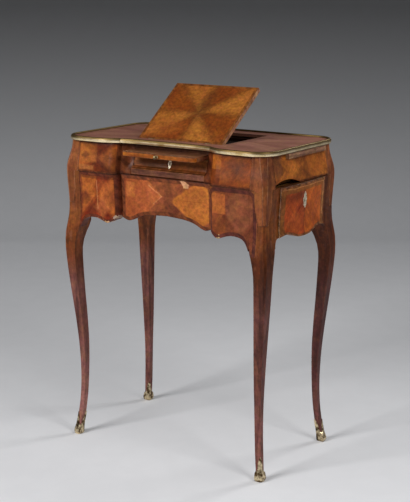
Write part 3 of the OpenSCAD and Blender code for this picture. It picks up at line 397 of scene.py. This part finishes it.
# the leaves' places are measured from the centre of their panel
veneers = {
    "centrePanel": dict(
        tone=(1.05, 1.0, 0.72), plane="front", centre=(0, 0.596), half=(0.1207, 0.048), top=0.044,
        pattern="plain", turn=30, light="9c5638", dark="6b3624", seed=0.4, apron=(0, 0.121, centreApron),
        band=(0.0085, "522819", "86492f"),
        leaves=[
            dict(shape="kite", at=(-0.066, 0.003, 0.056, 0.05), light="b7643f", dark="8f4a2c", turn=-38,
                 soft=0.002),
            dict(shape="box", at=(-0.116, -0.05, -0.06, 0.04), light="b4603a", dark="8c4729", turn=40,
                 soft=0.004),
            dict(shape="box", at=(-0.108, -0.085, -0.006, 0.029), light="cf7e48", dark="a85c32", turn=70),
            dict(shape="line", at=(-0.046, 0.026, -0.012, 0.002), width=0.0016, light="d39a78",
                 amount=0.55),
            dict(shape="line", at=(-0.036, -0.016, -0.012, 0.002), width=0.0016, light="d39a78",
                 amount=0.4),
            dict(shape="kite", at=(0.088, -0.006, 0.078, 0.052), light="cf7f3c", dark="a9602d", turn=-35,
                 soft=0.003),
            dict(shape="box", at=(0.052, 0.108, -0.03, 0.028), light="c4753a", dark="96522a", turn=32,
                 soft=0.01, amount=0.7),
            dict(shape="box", at=(0.042, 0.106, -0.0012, 0.0002), light="8a4824", amount=0.6),
            dict(shape="kite", at=(0.006, 0.0, 0.013, 0.09), light="74402a", dark="5a2c1e", amount=0.6,
                 soft=0.004)],
        chips=[
            dict(shape="oval", at=(0.05, 0.036, 0.0115, 0.0075), tilt=-35, light="d9a88c")]),
    "leftPanel": dict(
        tone=(0.8, 0.71, 0.55), plane="front", centre=(-0.176, 0.588), half=(0.0535, 0.056), top=0.052,
        pattern="cross", light="d67c3e", dark="8a401e", shade="c89080", seed=1.7,
        apron=(0.121, 0.2255, outerApron), band=(0.007, "54271a", "834430"), turn=46,
        leaves=[
            dict(shape="box", at=(-0.044, -0.001, 0.006, 0.044), light="d8853f", dark="a85c26", turn=38,
                 soft=0.004, amount=0.7),
            dict(shape="kite", at=(-0.032, -0.006, 0.018, 0.014), light="8a4828", dark="64321e", turn=90,
                 soft=0.008, amount=0.6),
            dict(shape="kite", at=(-0.014, -0.032, 0.016, 0.02), light="884626", dark="642e1a", turn=60,
                 soft=0.008, amount=0.6),
            dict(shape="kite", at=(0.034, -0.004, 0.018, 0.028), light="94502e", dark="703822", turn=75,
                 soft=0.01, amount=0.5),
            dict(shape="kite", at=(0.014, -0.026, 0.022, 0.024), light="d88450", dark="b0603a", turn=-30,
                 soft=0.008, amount=0.7),
            dict(shape="kite", at=(0.018, 0.022, 0.024, 0.02), light="cc7240", dark="a4552e", turn=40,
                 soft=0.008, amount=0.6),
            dict(shape="box", at=(-0.05, 0.049, 0.0385, 0.0525), light="6e3a24", dark="4c2416",
                 soft=0.002, amount=0.6),
            dict(shape="box", at=(-0.0488, -0.0418, -0.052, 0.05), light="72322a", dark="522018",
                 soft=0.0012, amount=0.55),
            dict(shape="line", at=(0.0012, -0.03, 0.0012, 0.036), width=0.0016, light="e4a878",
                 amount=0.55)],
        chips=[
            # this first chip is a worn edge that is also a painted highlight, pale grey
            dict(shape="oval", at=(0.05, -0.046, 0.008, 0.006), light="c4b2ac"),
            dict(shape="oval", at=(0.004, -0.0535, 0.012, 0.0028), light="d8b296"),
            dict(shape="oval", at=(0.03, -0.0585, 0.012, 0.003), light="d8b296")]),
    "rightPanel": dict(
        tone=(0.8, 0.66, 0.48), plane="front", centre=(0.183, 0.588), half=(0.06, 0.05), top=0.0505,
        pattern="plain", turn=60, light="9c5a3c", dark="6c3827", round=0.02,
        apron=(0.121, 0.2255, outerApron), band=(0.0085, "4e2622", "74403a"), seed=4.2,
        outside=postColours,
        leaves=[
            dict(shape="kite", at=(0.02, 0.004, 0.046, 0.052), light="a5684c", dark="7f4a38", turn=30,
                 soft=0.006),
            dict(shape="kite", at=(0.02, 0.012, 0.02, 0.024), light="bb7a56", dark="98583c", turn=30,
                 soft=0.012, amount=0.8),
            dict(shape="box", at=(-0.06, -0.016, -0.07, 0.044), light="a05c34", dark="723a22", turn=60,
                 soft=0.0015),
            dict(shape="box", at=(-0.05, -0.0165, -0.006, 0.038), light="cb7c42", dark="9c5530", turn=55)],
        chips=[
            dict(shape="oval", at=(-0.033, -0.061, 0.0045, 0.009), light="e6cdb0")]),
    "leftFrieze": dict(
        tone=(0.76, 0.69, 0.5), plane="front", centre=(-0.176, 0.675), half=(0.0535, 0.035),
        pattern="cross", light="b4642e", dark="7e421e", shade="c8a08c", turn=35,
        band=(0.004, "5a2e1c", "8c4e30"),
        leaves=[
            dict(shape="box", at=(-0.05, -0.001, -0.012, 0.032), light="cf8040", dark="9c5826", turn=-42,
                 soft=0.004, amount=0.6),
            dict(shape="kite", at=(-0.034, 0.002, 0.011, 0.009), light="6e3a1e", dark="532a18",
                 soft=0.005, amount=0.7),
            dict(shape="box", at=(-0.05, -0.006, -0.03, -0.019), light="cc8450", dark="a0603a", turn=20,
                 soft=0.003, amount=0.7),
            dict(shape="box", at=(0.018, 0.06, -0.04, 0.012), light="6a3a24", dark="4c281a", soft=0.014,
                 amount=0.45),
            # painted shade: a thin dark strip in the crease at the seam with the middle section
            dict(shape="box", at=(0.0533, 0.0552, -0.04, 0.04), light="3a1a10", soft=0.0008, amount=0.7)]),
    "rightFrieze": dict(
        tone=(0.86, 0.7, 0.38), plane="front", centre=(0.173, 0.675), half=(0.06, 0.035), pattern="plain",
        turn=50, light="a85e30", dark="743c20", band=(0.004, "5e3020", "8a4e36"), seed=5.5,
        leaves=[
            dict(shape="box", at=(-0.052, -0.02, 0.0015, 0.032), light="c87c3c", dark="985628", turn=-50,
                 amount=0.85),
            dict(shape="box", at=(-0.052, -0.02, -0.03, 0.001), light="90481f", dark="662f18", turn=40,
                 amount=0.85),
            dict(shape="kite", at=(-0.004, -0.014, 0.018, 0.014), light="b87444", dark="96562e",
                 soft=0.006, amount=0.7),
            dict(shape="kite", at=(0.018, 0.016, 0.03, 0.02), light="8a5646", dark="6c4038", soft=0.008,
                 amount=0.6)]),
    "sideFrieze": dict(
        tone=(0.96, 0.69, 0.47), plane="side", centre=(0, 0.676), half=(0.118, 0.036), pattern="quarter",
        light="c4843c", dark="70421c", band=(0.005, "5a341e", "8c5a34"), turn=35,
        leaves=[
            dict(shape="box", at=(-0.12, -0.082, -0.012, 0.03), light="7a5440", dark="5c3c2c", turn=20,
                 soft=0.008, amount=0.7),
            dict(shape="kite", at=(0.018, -0.006, 0.012, 0.03), light="7a4a20", dark="5c3416", soft=0.004,
                 amount=0.6),
            dict(shape="box", at=(0.04, 0.11, -0.02, 0.024), light="d08c3c", dark="945822", turn=-35,
                 soft=0.004, amount=0.7),
            # painted highlight: a pale line along the frieze's lower edge
            dict(shape="box", at=(-0.118, 0.118, -0.0348, -0.033), light="b48c68", amount=0.55,
                 soft=0.0005)]),
    "sideFront": dict(
        tone=(1.2, 0.92, 0.53), plane="side", centre=(0, 0.586), half=(0.0966, 0.054), top=0.0532,
        pattern="plain", turn=0, light="946238", dark="66401f", apron=(0, 0.097, sideApron),
        band=(0.005, "4a2c1c", "9a7052"),
        leaves=[
            dict(shape="box", at=(-0.077, 0.001, -0.08, 0.036), light="b0582c", dark="743014", turn=42),
            # painted shade: the top of the front half is darker under the tray's side frieze
            dict(shape="box", at=(-0.077, -0.004, 0.018, 0.036), light="6e3218", dark="512412", turn=42,
                 soft=0.007, amount=0.7),
            dict(shape="kite", at=(-0.036, -0.03, 0.04, 0.03), light="bb683a", dark="8e4a26", turn=-42,
                 soft=0.006, amount=0.7),
            dict(shape="box", at=(0.001, 0.08, -0.08, 0.038), light="c06c2e", dark="84441c", turn=-42),
            dict(shape="kite", at=(0.046, 0.0, 0.034, 0.04), light="a2562a", dark="7a3c1c", turn=30,
                 soft=0.01, amount=0.6),
            dict(shape="box", at=(-0.0009, 0.0009, -0.08, 0.05), light="4a2414", amount=0.75,
                 soft=0.0004),
            # pale lines along the top and back edges: partly wear, partly painted highlight
            dict(shape="box", at=(-0.09, 0.0912, 0.0455, 0.0476), light="c89c78", amount=0.5,
                 soft=0.0004),
            dict(shape="box", at=(0.0884, 0.0908, -0.03, 0.047), light="d8b090", amount=0.65,
                 soft=0.0004)]),
    "backPanel": dict(
        tone=(0.85, 0.75, 0.55), plane="front", centre=(0, 0.588), half=(0.224, 0.056), top=0.052,
        pattern="cross", light="a96332", dark="713a20", apron=(0, 0.2255, backApron), shade="a8806e"),
    "backFrieze": dict(
        tone=(0.85, 0.75, 0.55), plane="front", centre=(0, 0.675), half=(0.226, 0.035), pattern="cross",
        light="ad6c34", dark="754020", band=(0.007, bandDark, bandLight), shade="a8806e"),
    "drawerFront": dict(
        tone=(1.0, 0.85, 0.6), plane="front", centre=(0, 0.6695), half=(0.0967, 0.0133), pattern="plain",
        turn=0, light="a06234", dark="653a1f", band=(0.0028, "6a3a24", "a06a42"), line="2c130c",
        stripe=60,
        leaves=[
            # painted shadow: a darker kite on the drawer front where the writing slide casts shade
            dict(shape="kite", at=(-0.03, 0.0, 0.06, 0.02), light="5c3820", dark="40241a", soft=0.006,
                 amount=0.6)]),
    "tableTop": dict(
        tone=(0.98, 0.82, 0.78), plane="top", centre=(0, 0), half=(0.262, 0.149), pattern="quarter",
        light="a07864", dark="7c5444", turn=24, band=(0.011, "6e4838", "8c6250"), stripe=26,
        roughness=0.42, mottle=0.12, specular=0.3, dirt=False, fade="d0c0bc"),
    "deskTop": dict(
        tone=(1.0, 0.98, 0.9), plane="top", centre=(0, 0.0144), half=(0.111, 0.0947), pattern="burst",
        light="b4702e", dark="8c521e", band=(0.0065, "5a3012", "8c5624"), shade="c8a888", joint="5c3414",
        roughness=0.36, mottle=0.27, dirt=False, stripe=44, fade="c8ac94",
        leaves=[
            dict(shape="kite", at=(0.004, 0.03, 0.02, 0.06), light="7c4a1e", dark="5c3414", turn=80,
                 soft=0.012, amount=0.5),
            dict(shape="kite", at=(-0.06, -0.05, 0.05, 0.04), light="b4662e", dark="8a461c", soft=0.02,
                 amount=0.4)])}
woods = {name: veneer(name, spec) for name, spec in veneers.items()}
woods["leg"] = legWood("legVeneer")
woods["legFront"] = legWood("frontLeg", ("3a1a08", "66300f"), (0.86, 0.8, 0.74))
woods["legShaded"] = legWood("shadedLeg", tone=(0.58, 0.5, 0.5))
# pale pink bevel wood: painted highlight along the legs' edges, partly wear
woods["ridge"] = plainWood("legEdgeHighlight", "c49484", "6c3c30", "z", 60, roughness=0.36, dirt=False)
woods["post"] = plainWood("post", *postColours, "z", 70, dirt=False, tone=(0.74, 0.6, 0.46))
woods["oak"] = plainWood("oak", "94704a", "5f4128", "x", 26, roughness=0.6, dirt=False)
# rail and well are near-black: painted shade for the inside of the well, its racks and rails, and the top
# board's edge under the rim
woods["rail"] = plainWood("wellRail", "3a2016", "1d0f0a", "x", 40, dirt=False)
woods["fascia"] = plainWood("fascia", "7c5040", "50302a", "x", 60, dirt=False)
woods["well"] = plainWood("wellFloor", "24130d", "120906", "x", 40, dirt=False, roughness=0.6)
woods["slideTop"] = plainWood("slideTop", "a07060", "6e4c40", "x", 40, dirt=False)
woods["slideFront"] = plainWood("slideFront", "d0823c", "8c4c20", "x", 60, dirt=False)
woods["deskSide"] = plainWood("deskSide", "d2a698", "94685c", "x", 60, dirt=False)
woods["candle"] = plainWood("candle", "bc9074", "5c3c2c", "y", 60, dirt=False, tone=(1, 0.95, 0.85))
woods["bottomRail"] = plainWood("bottomRail", "a06a52", "5c362a", "x", 60, dirt=False,
                                tone=(0.85, 0.8, 0.75))
# pale bevel wood: painted highlight along lit edges, partly wear
woods["bright"] = plainWood("brightEdge", "fff0e2", "b88c70", "z", 120, roughness=0.5, tone=(1, 1, 1))
woods["worn"] = plainWood("wornEdge", "9a6446", "5c3322", "z", 90, roughness=0.45)
woods["shadowed"] = plainWood("darkEdge", "6a3a28", "40201a", "z", 90, roughness=0.45)
metals = {"gilt": metal("gilt", "dcc79a", "6e5836", 0.32, scale=160),
          "mount": metal("footMount", "ecd8b0", "5a4226", 0.34, "1c1209", 110, 0.9, 0.0014, 0.38, 0.6),
          "iron": metal("iron", "45403a", "262320", 0.45),
          # the rim's darker top colour is painted shade
          "rim": rimMetal("rim", dict(light="fbe6bc", dull="d2b67c", upperShade="6a5634", grime="3a2a14",
                                      turnZ=0.7160, footZ=0.7091, roughness=0.3)),
          "plate": metal("plate", "fff2d8", "b8a27c", 0.5, scale=240, dirt=0.4, low=0.42, high=0.75)}
print("materials ready")


def finishMesh(name, mesh, node, parts, soft=None, angle=32):
    piece = bpy.data.objects.new(name, mesh)
    bpy.context.scene.collection.objects.link(piece)
    for material in parts:
        mesh.materials.append(material)
    for face in mesh.polygons:
        face.use_smooth = True
    mesh.set_sharp_from_angle(angle=math.radians(angle))
    if soft:
        cut = piece.modifiers.new("softEdge", "BEVEL")
        cut.width = soft
        cut.segments = 2
        cut.limit_method = "ANGLE"
        cut.angle_limit = math.radians(angle)
        cut.material = len(parts) - 1
        cut.use_clamp_overlap = True
    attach(piece, bodyOf[node])
    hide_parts(node)
    return piece


def dress(node, material, edge, bevel=0.0008, angle=32, cuts=(), choose=None, others=()):
    # copies a solid, cleans its facets, cuts it at planes and lets choose pick a material for each face
    mesh = nodes[node].data.copy()
    mesh.materials.clear()
    work = bmesh.new()
    work.from_mesh(mesh)
    bmesh.ops.remove_doubles(work, verts=work.verts, dist=1e-6)
    bmesh.ops.dissolve_limit(work, angle_limit=math.radians(0.5), verts=work.verts, edges=work.edges)
    for point, normal in cuts:
        everything = work.verts[:] + work.edges[:] + work.faces[:]
        bmesh.ops.bisect_plane(work, geom=everything, dist=1e-6, plane_co=point, plane_no=normal)
    for face in work.faces:
        face.material_index = choose(face.calc_center_median(), face.normal) if choose else 0
    work.to_mesh(mesh)
    work.free()
    return finishMesh(node + "_finish", mesh, node, [material, *others, edge], bevel, angle)


def paint(node, material):
    nodes[node].data.materials.clear()
    nodes[node].data.materials.append(material)


# stand
for node, wood in {"front_centre_panel": "centrePanel", "front_left_panel": "leftPanel",
                   "front_right_panel": "rightPanel", "back_panel": "backPanel"}.items():
    dress(node, woods[wood], woods["shadowed"])
# their bevels carry the painted edge highlight
for node in ("left_side_panel", "side_drawer_front"):
    dress(node, woods["sideFront"], woods["bright"], 0.0016)
fieldEdge = midX + 0.244  # the right panel's veneer runs on over the front of its post
for where in corners:
    isRight = where == "front_right"
    cuts = [((fieldEdge, 0, 0), (1, 0, 0)), ((0, 0, 0.50), (0, 0, 1))] if isRight else []
    wood = woods[{"front_right": "legFront", "back_right": "legShaded"}.get(where, "leg")]
    onFront = (lambda c, n: 1 if n.y < -0.85 and c.x < fieldEdge and c.z > 0.5 else 0) if isRight else None
    # the legs' bevels take the painted edge highlight
    dress("leg_" + where, wood, woods["ridge"], 0.0011, 28, cuts, onFront,
          [woods["rightPanel"]] if isRight else [])

# bed tray
for node, wood in {"tray_frieze_front_left": "leftFrieze", "tray_frieze_front_right": "rightFrieze",
                   "tray_frieze_left": "sideFrieze", "tray_frieze_right": "sideFrieze",
                   "tray_frieze_back": "backFrieze"}.items():
    dress(node, woods[wood], woods["shadowed"])
# the top board's edge under the rim takes the dark rail wood as painted shade
dress("tray_top_board", woods["tableTop"], woods["rail"])
for where in corners:
    # the tray legs' bevels take the painted edge highlight
    dress("tray_leg_" + where, woods["post"], woods["ridge"], 0.0009)
dress("tray_bottom_board", woods["bottomRail"], woods["worn"], 0.0015,
      choose=lambda c, n: 0 if c.y < midY - 0.11 else 1, others=[woods["oak"]])
dress("front_drawer_front", woods["drawerFront"], woods["worn"], angle=40)
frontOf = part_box("writing_slide")[0].y
dress("writing_slide", woods["slideTop"], woods["worn"], 0.0015, 40,
      choose=lambda c, n: 1 if abs(n.z) < 0.5 and c.y < frontOf + 0.02 else 0, others=[woods["slideFront"]])
for node in ("candle_slide_left", "candle_slide_right"):
    dress(node, woods["candle"], woods["worn"], 0.0008)
for node in ("writing_slide_knob", "desk_hinge_fixed_leaves", "desk_hinge_moving_leaves"):
    dress(node, metals["gilt"], metals["gilt"], 0.0002, 40)
# the well's inside is painted dark as shade; only its front faces take the fascia wood
dress("well_floor", woods["well"], woods["fascia"], 0.0003,
      choose=lambda c, n: 1 if n.y < -0.5 and c.y < midY - 0.1 else 0, others=[woods["fascia"]])
paint("desk_racks", woods["rail"])
dress("well_rails", woods["rail"], woods["rail"], 0.0006,
      choose=lambda c, n: 1 if n.y < -0.5 and c.y < midY - 0.1 else 0, others=[woods["fascia"]])
for node in nodes:
    if not nodes[node].hide_render and slotOf[node] in ("oak", "iron"):
        paint(node, woods["oak"] if slotOf[node] == "oak" else metals["iron"])
print("wood dressed")

# reading desk: its pattern is drawn on the closed panel, so its coordinates are turned back
deskTurn = dict(angle=math.radians(36), y=midY - 0.0806, z=0.7151)


def deskMaterial():
    made = veneer("deskVeneer", veneers["deskTop"])
    tree = made.node_tree
    for coord in [n for n in tree.nodes if n.bl_idname == "ShaderNodeTexCoord"]:
        for link in list(coord.outputs["Object"].links):
            target = link.to_socket
            back = addNode(tree, "VectorRotate", {
                "Vector": coord.outputs["Object"], "Center": (midX, deskTurn["y"], deskTurn["z"]),
                "Angle": -deskTurn["angle"]}, rotation_type="X_AXIS")
            tree.links.new(back.outputs[0], target)
    return made


deskUp = Vector((0, -math.sin(deskTurn["angle"]), math.cos(deskTurn["angle"])))
dress("reading_desk_panel", deskMaterial(), woods["worn"], 0.001,
      choose=lambda c, n: 0 if n.dot(deskUp) > 0.5 else 1, others=[woods["deskSide"]])
print("desk ready")

# brass rim: a rounded moulding bent along the CAD's own line, proud in the middle of its section
rimSpec = dict(corner=0.052, lobe=(0.060, 0.018), step=0.025, end=0.119, flat=0.070, rise=0.0055, turns=10)
rimSection = [(-0.0058, 0.0004), (-0.0022, 0.0002), (-0.0009, 0.0009), (-0.0009, 0.0020), (-0.0002, 0.0030),
              (0, 0.0046), (0, 0.0060), (-0.0004, 0.0074), (-0.0012, 0.0084), (-0.0012, 0.0092),
              (-0.0020, 0.0102), (-0.0034, 0.0109), (-0.0048, 0.0108), (-0.0057, 0.0101), (-0.0059, 0.0085)]


def sweepRim(name, node, stations):  # each station is a point of the line and the direction outwards
    work = bmesh.new()
    rings = []
    for point, outward in stations:
        ring = [work.verts.new((point[0] + outward[0] * o, point[1] + outward[1] * o, point[2] + h))
                for o, h in rimSection]
        rings.append([work.edges.new(pair) for pair in zip(ring, ring[1:] + ring[:1])])
    for a, b in zip(rings, rings[1:]):
        bmesh.ops.bridge_loops(work, edges=a + b)
    for ring in (rings[0], rings[-1]):
        bmesh.ops.contextual_create(work, geom=ring)
    bmesh.ops.recalc_face_normals(work, faces=work.faces)
    mesh = bpy.data.meshes.new(name)
    work.to_mesh(mesh)
    work.free()
    finishMesh(name, mesh, node, [metals["rim"]], None, 50)


def arcPoints(cx, cy, r, start, end, count):
    for i in range(count + 1):
        a = math.radians(start + (end - start) * i / count)
        yield (cx + r * math.cos(a), cy + r * math.sin(a)), (math.cos(a), math.sin(a))


def bend(x, width, rise):  # rise of a circle's arc at x, when it is rise at width
    r = (width * width + rise * rise) / (2 * rise)
    return r - math.sqrt(r * r - x * x)


# side 1 is the right half, -1 the left; the line runs from the front seam to the back
def rimStations(side):
    low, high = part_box("rim_right")
    halfW, halfD = high.x - midX, (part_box("rim_left")[1].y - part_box("rim_left")[0].y) / 2
    s, n = rimSpec, rimSpec["turns"]
    wide, deep = s["lobe"]
    pts = []
    for i in range(n * 2):
        x = wide * i / (n * 2)
        pts.append(((s["end"] + x, halfD - bend(wide - x, wide, deep)), (0, 1)))
    pts += list(arcPoints(halfW - s["corner"], halfD - s["corner"], s["corner"], 90, 0, n * 2))
    pts += list(arcPoints(halfW - s["corner"], s["corner"] - halfD, s["corner"], 0, -90, n * 2))
    pts.append(((0.0001, -halfD), (0, -1)))
    return [((midX + side * x, midY - f, low.z), (side * ox, -of)) for (x, f), (ox, of) in pts]


for side, node in ((1, "rim_right"), (-1, "rim_left")):
    sweepRim(node + "_moulding", node, rimStations(side))
low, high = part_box("rim_front")
frontStations = []
for i in range(-20, 21):
    x = (high.x - midX) * i / 20
    over = max(0, abs(x) - rimSpec["flat"])
    back = rimSpec["rise"] - bend(over, rimSpec["end"] - rimSpec["flat"], rimSpec["rise"])
    frontStations.append(((midX + x, low.y + max(0, back), low.z), (0, -1)))
sweepRim("rim_front_moulding", "rim_front", frontStations)
print("rim ready")

for where in corners:
    dress("sabot_" + where, metals["mount"], metals["mount"], 0.0006, 30)
for node in ("side_drawer_escutcheon", "front_drawer_escutcheon"):
    dress(node, metals["plate"], metals["plate"], 0.0003, 40)
print("metalwork ready")

# a floor of pale paper that runs up behind the table
stageSpec = dict(front=-3.5, back=2.2, bend=0.9, height=4.2, half=5.0, steps=24, rampFrom=-2.0,
                 rampLength=7.0)
cameraSpec = dict(azimuth=0.5865004308, elevation=0.2251288212, roll=0.0017449182, distance=2.7389320363,
                  focal=1185.667132, side=0.0128039197, lift=0.0522564357, target=0.4, sensor=36,
                  imageHeight=502)


def makeStage():
    s = stageSpec
    work = bmesh.new()
    start = [work.verts.new((-s["half"], s["front"], 0)), work.verts.new((s["half"], s["front"], 0))]
    edges = [work.edges.new(start)]

    def push(offset):
        nonlocal edges
        grown = bmesh.ops.extrude_edge_only(work, edges=edges)["geom"]
        bmesh.ops.translate(work, verts=[g for g in grown if isinstance(g, bmesh.types.BMVert)], vec=offset)
        edges = [g for g in grown
                 if isinstance(g, bmesh.types.BMEdge) and abs(g.verts[0].co.x - g.verts[1].co.x) > 1]

    push((0, s["back"] - s["front"], 0))
    for i in range(s["steps"]):
        a, b = math.pi / 2 * i / s["steps"], math.pi / 2 * (i + 1) / s["steps"]
        push((0, s["bend"] * (math.sin(b) - math.sin(a)), s["bend"] * (math.cos(a) - math.cos(b))))
    push((0, 0, s["height"]))
    bmesh.ops.recalc_face_normals(work, faces=work.faces)
    mesh = bpy.data.meshes.new("studioFloor")
    work.to_mesh(mesh)
    work.free()
    floor = bpy.data.objects.new("studioFloor", mesh)
    bpy.context.scene.collection.objects.link(floor)
    for face in mesh.polygons:
        face.use_smooth = True
    mesh.transform(Matrix.Rotation(cameraSpec["azimuth"], 4, "Z"))
    made, tree, shader = startMaterial("studioPaper")
    parts = addNode(tree, "SeparateXYZ", {0: addNode(tree, "TexCoord").outputs["Object"]}).outputs
    depth, _ = turned(tree, parts[1], parts[0], -math.degrees(cameraSpec["azimuth"]))
    along = calc(tree, "ADD", depth, parts[2])
    share = calc(tree, "DIVIDE", calc(tree, "SUBTRACT", along, s["rampFrom"]), s["rampLength"])
    # the ramp paints the paper's light and shade
    ramp = addNode(tree, "ValToRGB", {"Fac": share})
    stops = ramp.color_ramp.elements
    for i, (at, tone) in enumerate(stageTone):
        position = (at - s["rampFrom"]) / s["rampLength"]
        stop = stops[i] if i < 2 else stops.new(position)
        stop.position = position
        stop.color = (tone, tone, tone * 1.02, 1)
    tint = ramp.outputs[0]
    fibres = noise(tree, vector(tree, *parts), 14, 4)
    tint = blend(tree, smooth(tree, fibres, 0.4, 0.6, 0.0, 0.02), tint, "808488")
    feed(tree, shader.inputs["Base Color"], tint)
    shader.inputs["Roughness"].default_value = 0.9
    shader.inputs["Specular IOR Level"].default_value = 0.1
    mesh.materials.append(made)
    if mesh.polygons[0].normal.z < 0:
        mesh.flip_normals()
    behind = addNode(tree, "NewGeometry").outputs["Backfacing"]  # the paper hides nothing from behind
    clear = addNode(tree, "BsdfTransparent").outputs[0]
    mixed = addNode(tree, "MixShader", {0: behind, 1: shader.outputs[0], 2: clear})
    tree.links.new(mixed.outputs[0], tree.nodes["Material Output"].inputs["Surface"])


# distance along the paper, brightness: painted light and shade on the paper, pale below and painted darker
# towards the top where less light falls
stageTone = [(-0.35, 0.85), (0.24, 0.71), (0.6, 0.727), (1.16, 0.69), (2.1, 0.752), (2.45, 0.63),
             (4.04, 0.112)]


def makeCamera():
    az, el = cameraSpec["azimuth"], cameraSpec["elevation"]
    back = Vector((math.sin(az) * math.cos(el), -math.cos(az) * math.cos(el), math.sin(el)))
    right = Vector((math.cos(az), math.sin(az), 0))
    up = back.cross(right)
    data = bpy.data.cameras.new("photoCamera")
    data.sensor_width = cameraSpec["sensor"]
    data.lens = cameraSpec["focal"] / cameraSpec["imageHeight"] * cameraSpec["sensor"]
    data.clip_start, data.clip_end = 0.05, 60
    camera = bpy.data.objects.new("photoCamera", data)
    bpy.context.scene.collection.objects.link(camera)
    turn = Matrix((right, up, back)).transposed() @ Matrix.Rotation(cameraSpec["roll"], 3, "Z")
    eye = Vector((midX, midY, cameraSpec["target"])) + back * cameraSpec["distance"]
    eye += right * cameraSpec["side"] + up * cameraSpec["lift"]
    camera.matrix_world = Matrix.Translation(eye) @ turn.to_4x4()
    bpy.context.scene.camera = camera


lampSpec = {"key": dict(place=(-0.8, -2.3, 1.9), size=0.9, power=52),
            "right": dict(place=(2.1, -0.64, 2.2), size=0.8, power=20),
            "rear": dict(place=(0.53, 1.06, 1.5), size=0.35, power=7)}
worldTone = dict(colour="d4d7da", strength=0.35)


def makeLamps():
    for name, lamp in lampSpec.items():
        data = bpy.data.lights.new(name + "Lamp", "AREA")
        data.shape, data.size, data.energy = "SQUARE", lamp["size"], lamp["power"]
        made = bpy.data.objects.new(name + "Lamp", data)
        bpy.context.scene.collection.objects.link(made)
        made.location = lamp["place"]
        aim = Vector((0, 0, 0.45)) - Vector(lamp["place"])
        made.rotation_euler = aim.to_track_quat("-Z", "Y").to_euler()
    world = bpy.data.worlds.new("studioWorld")
    world.use_nodes = True
    back = world.node_tree.nodes["Background"]
    back.inputs[0].default_value = colour(worldTone["colour"])
    back.inputs[1].default_value = worldTone["strength"]
    bpy.context.scene.world = world
    bpy.context.scene.view_settings.view_transform = "Standard"


makeCamera()
makeStage()
makeLamps()
print("studio ready")
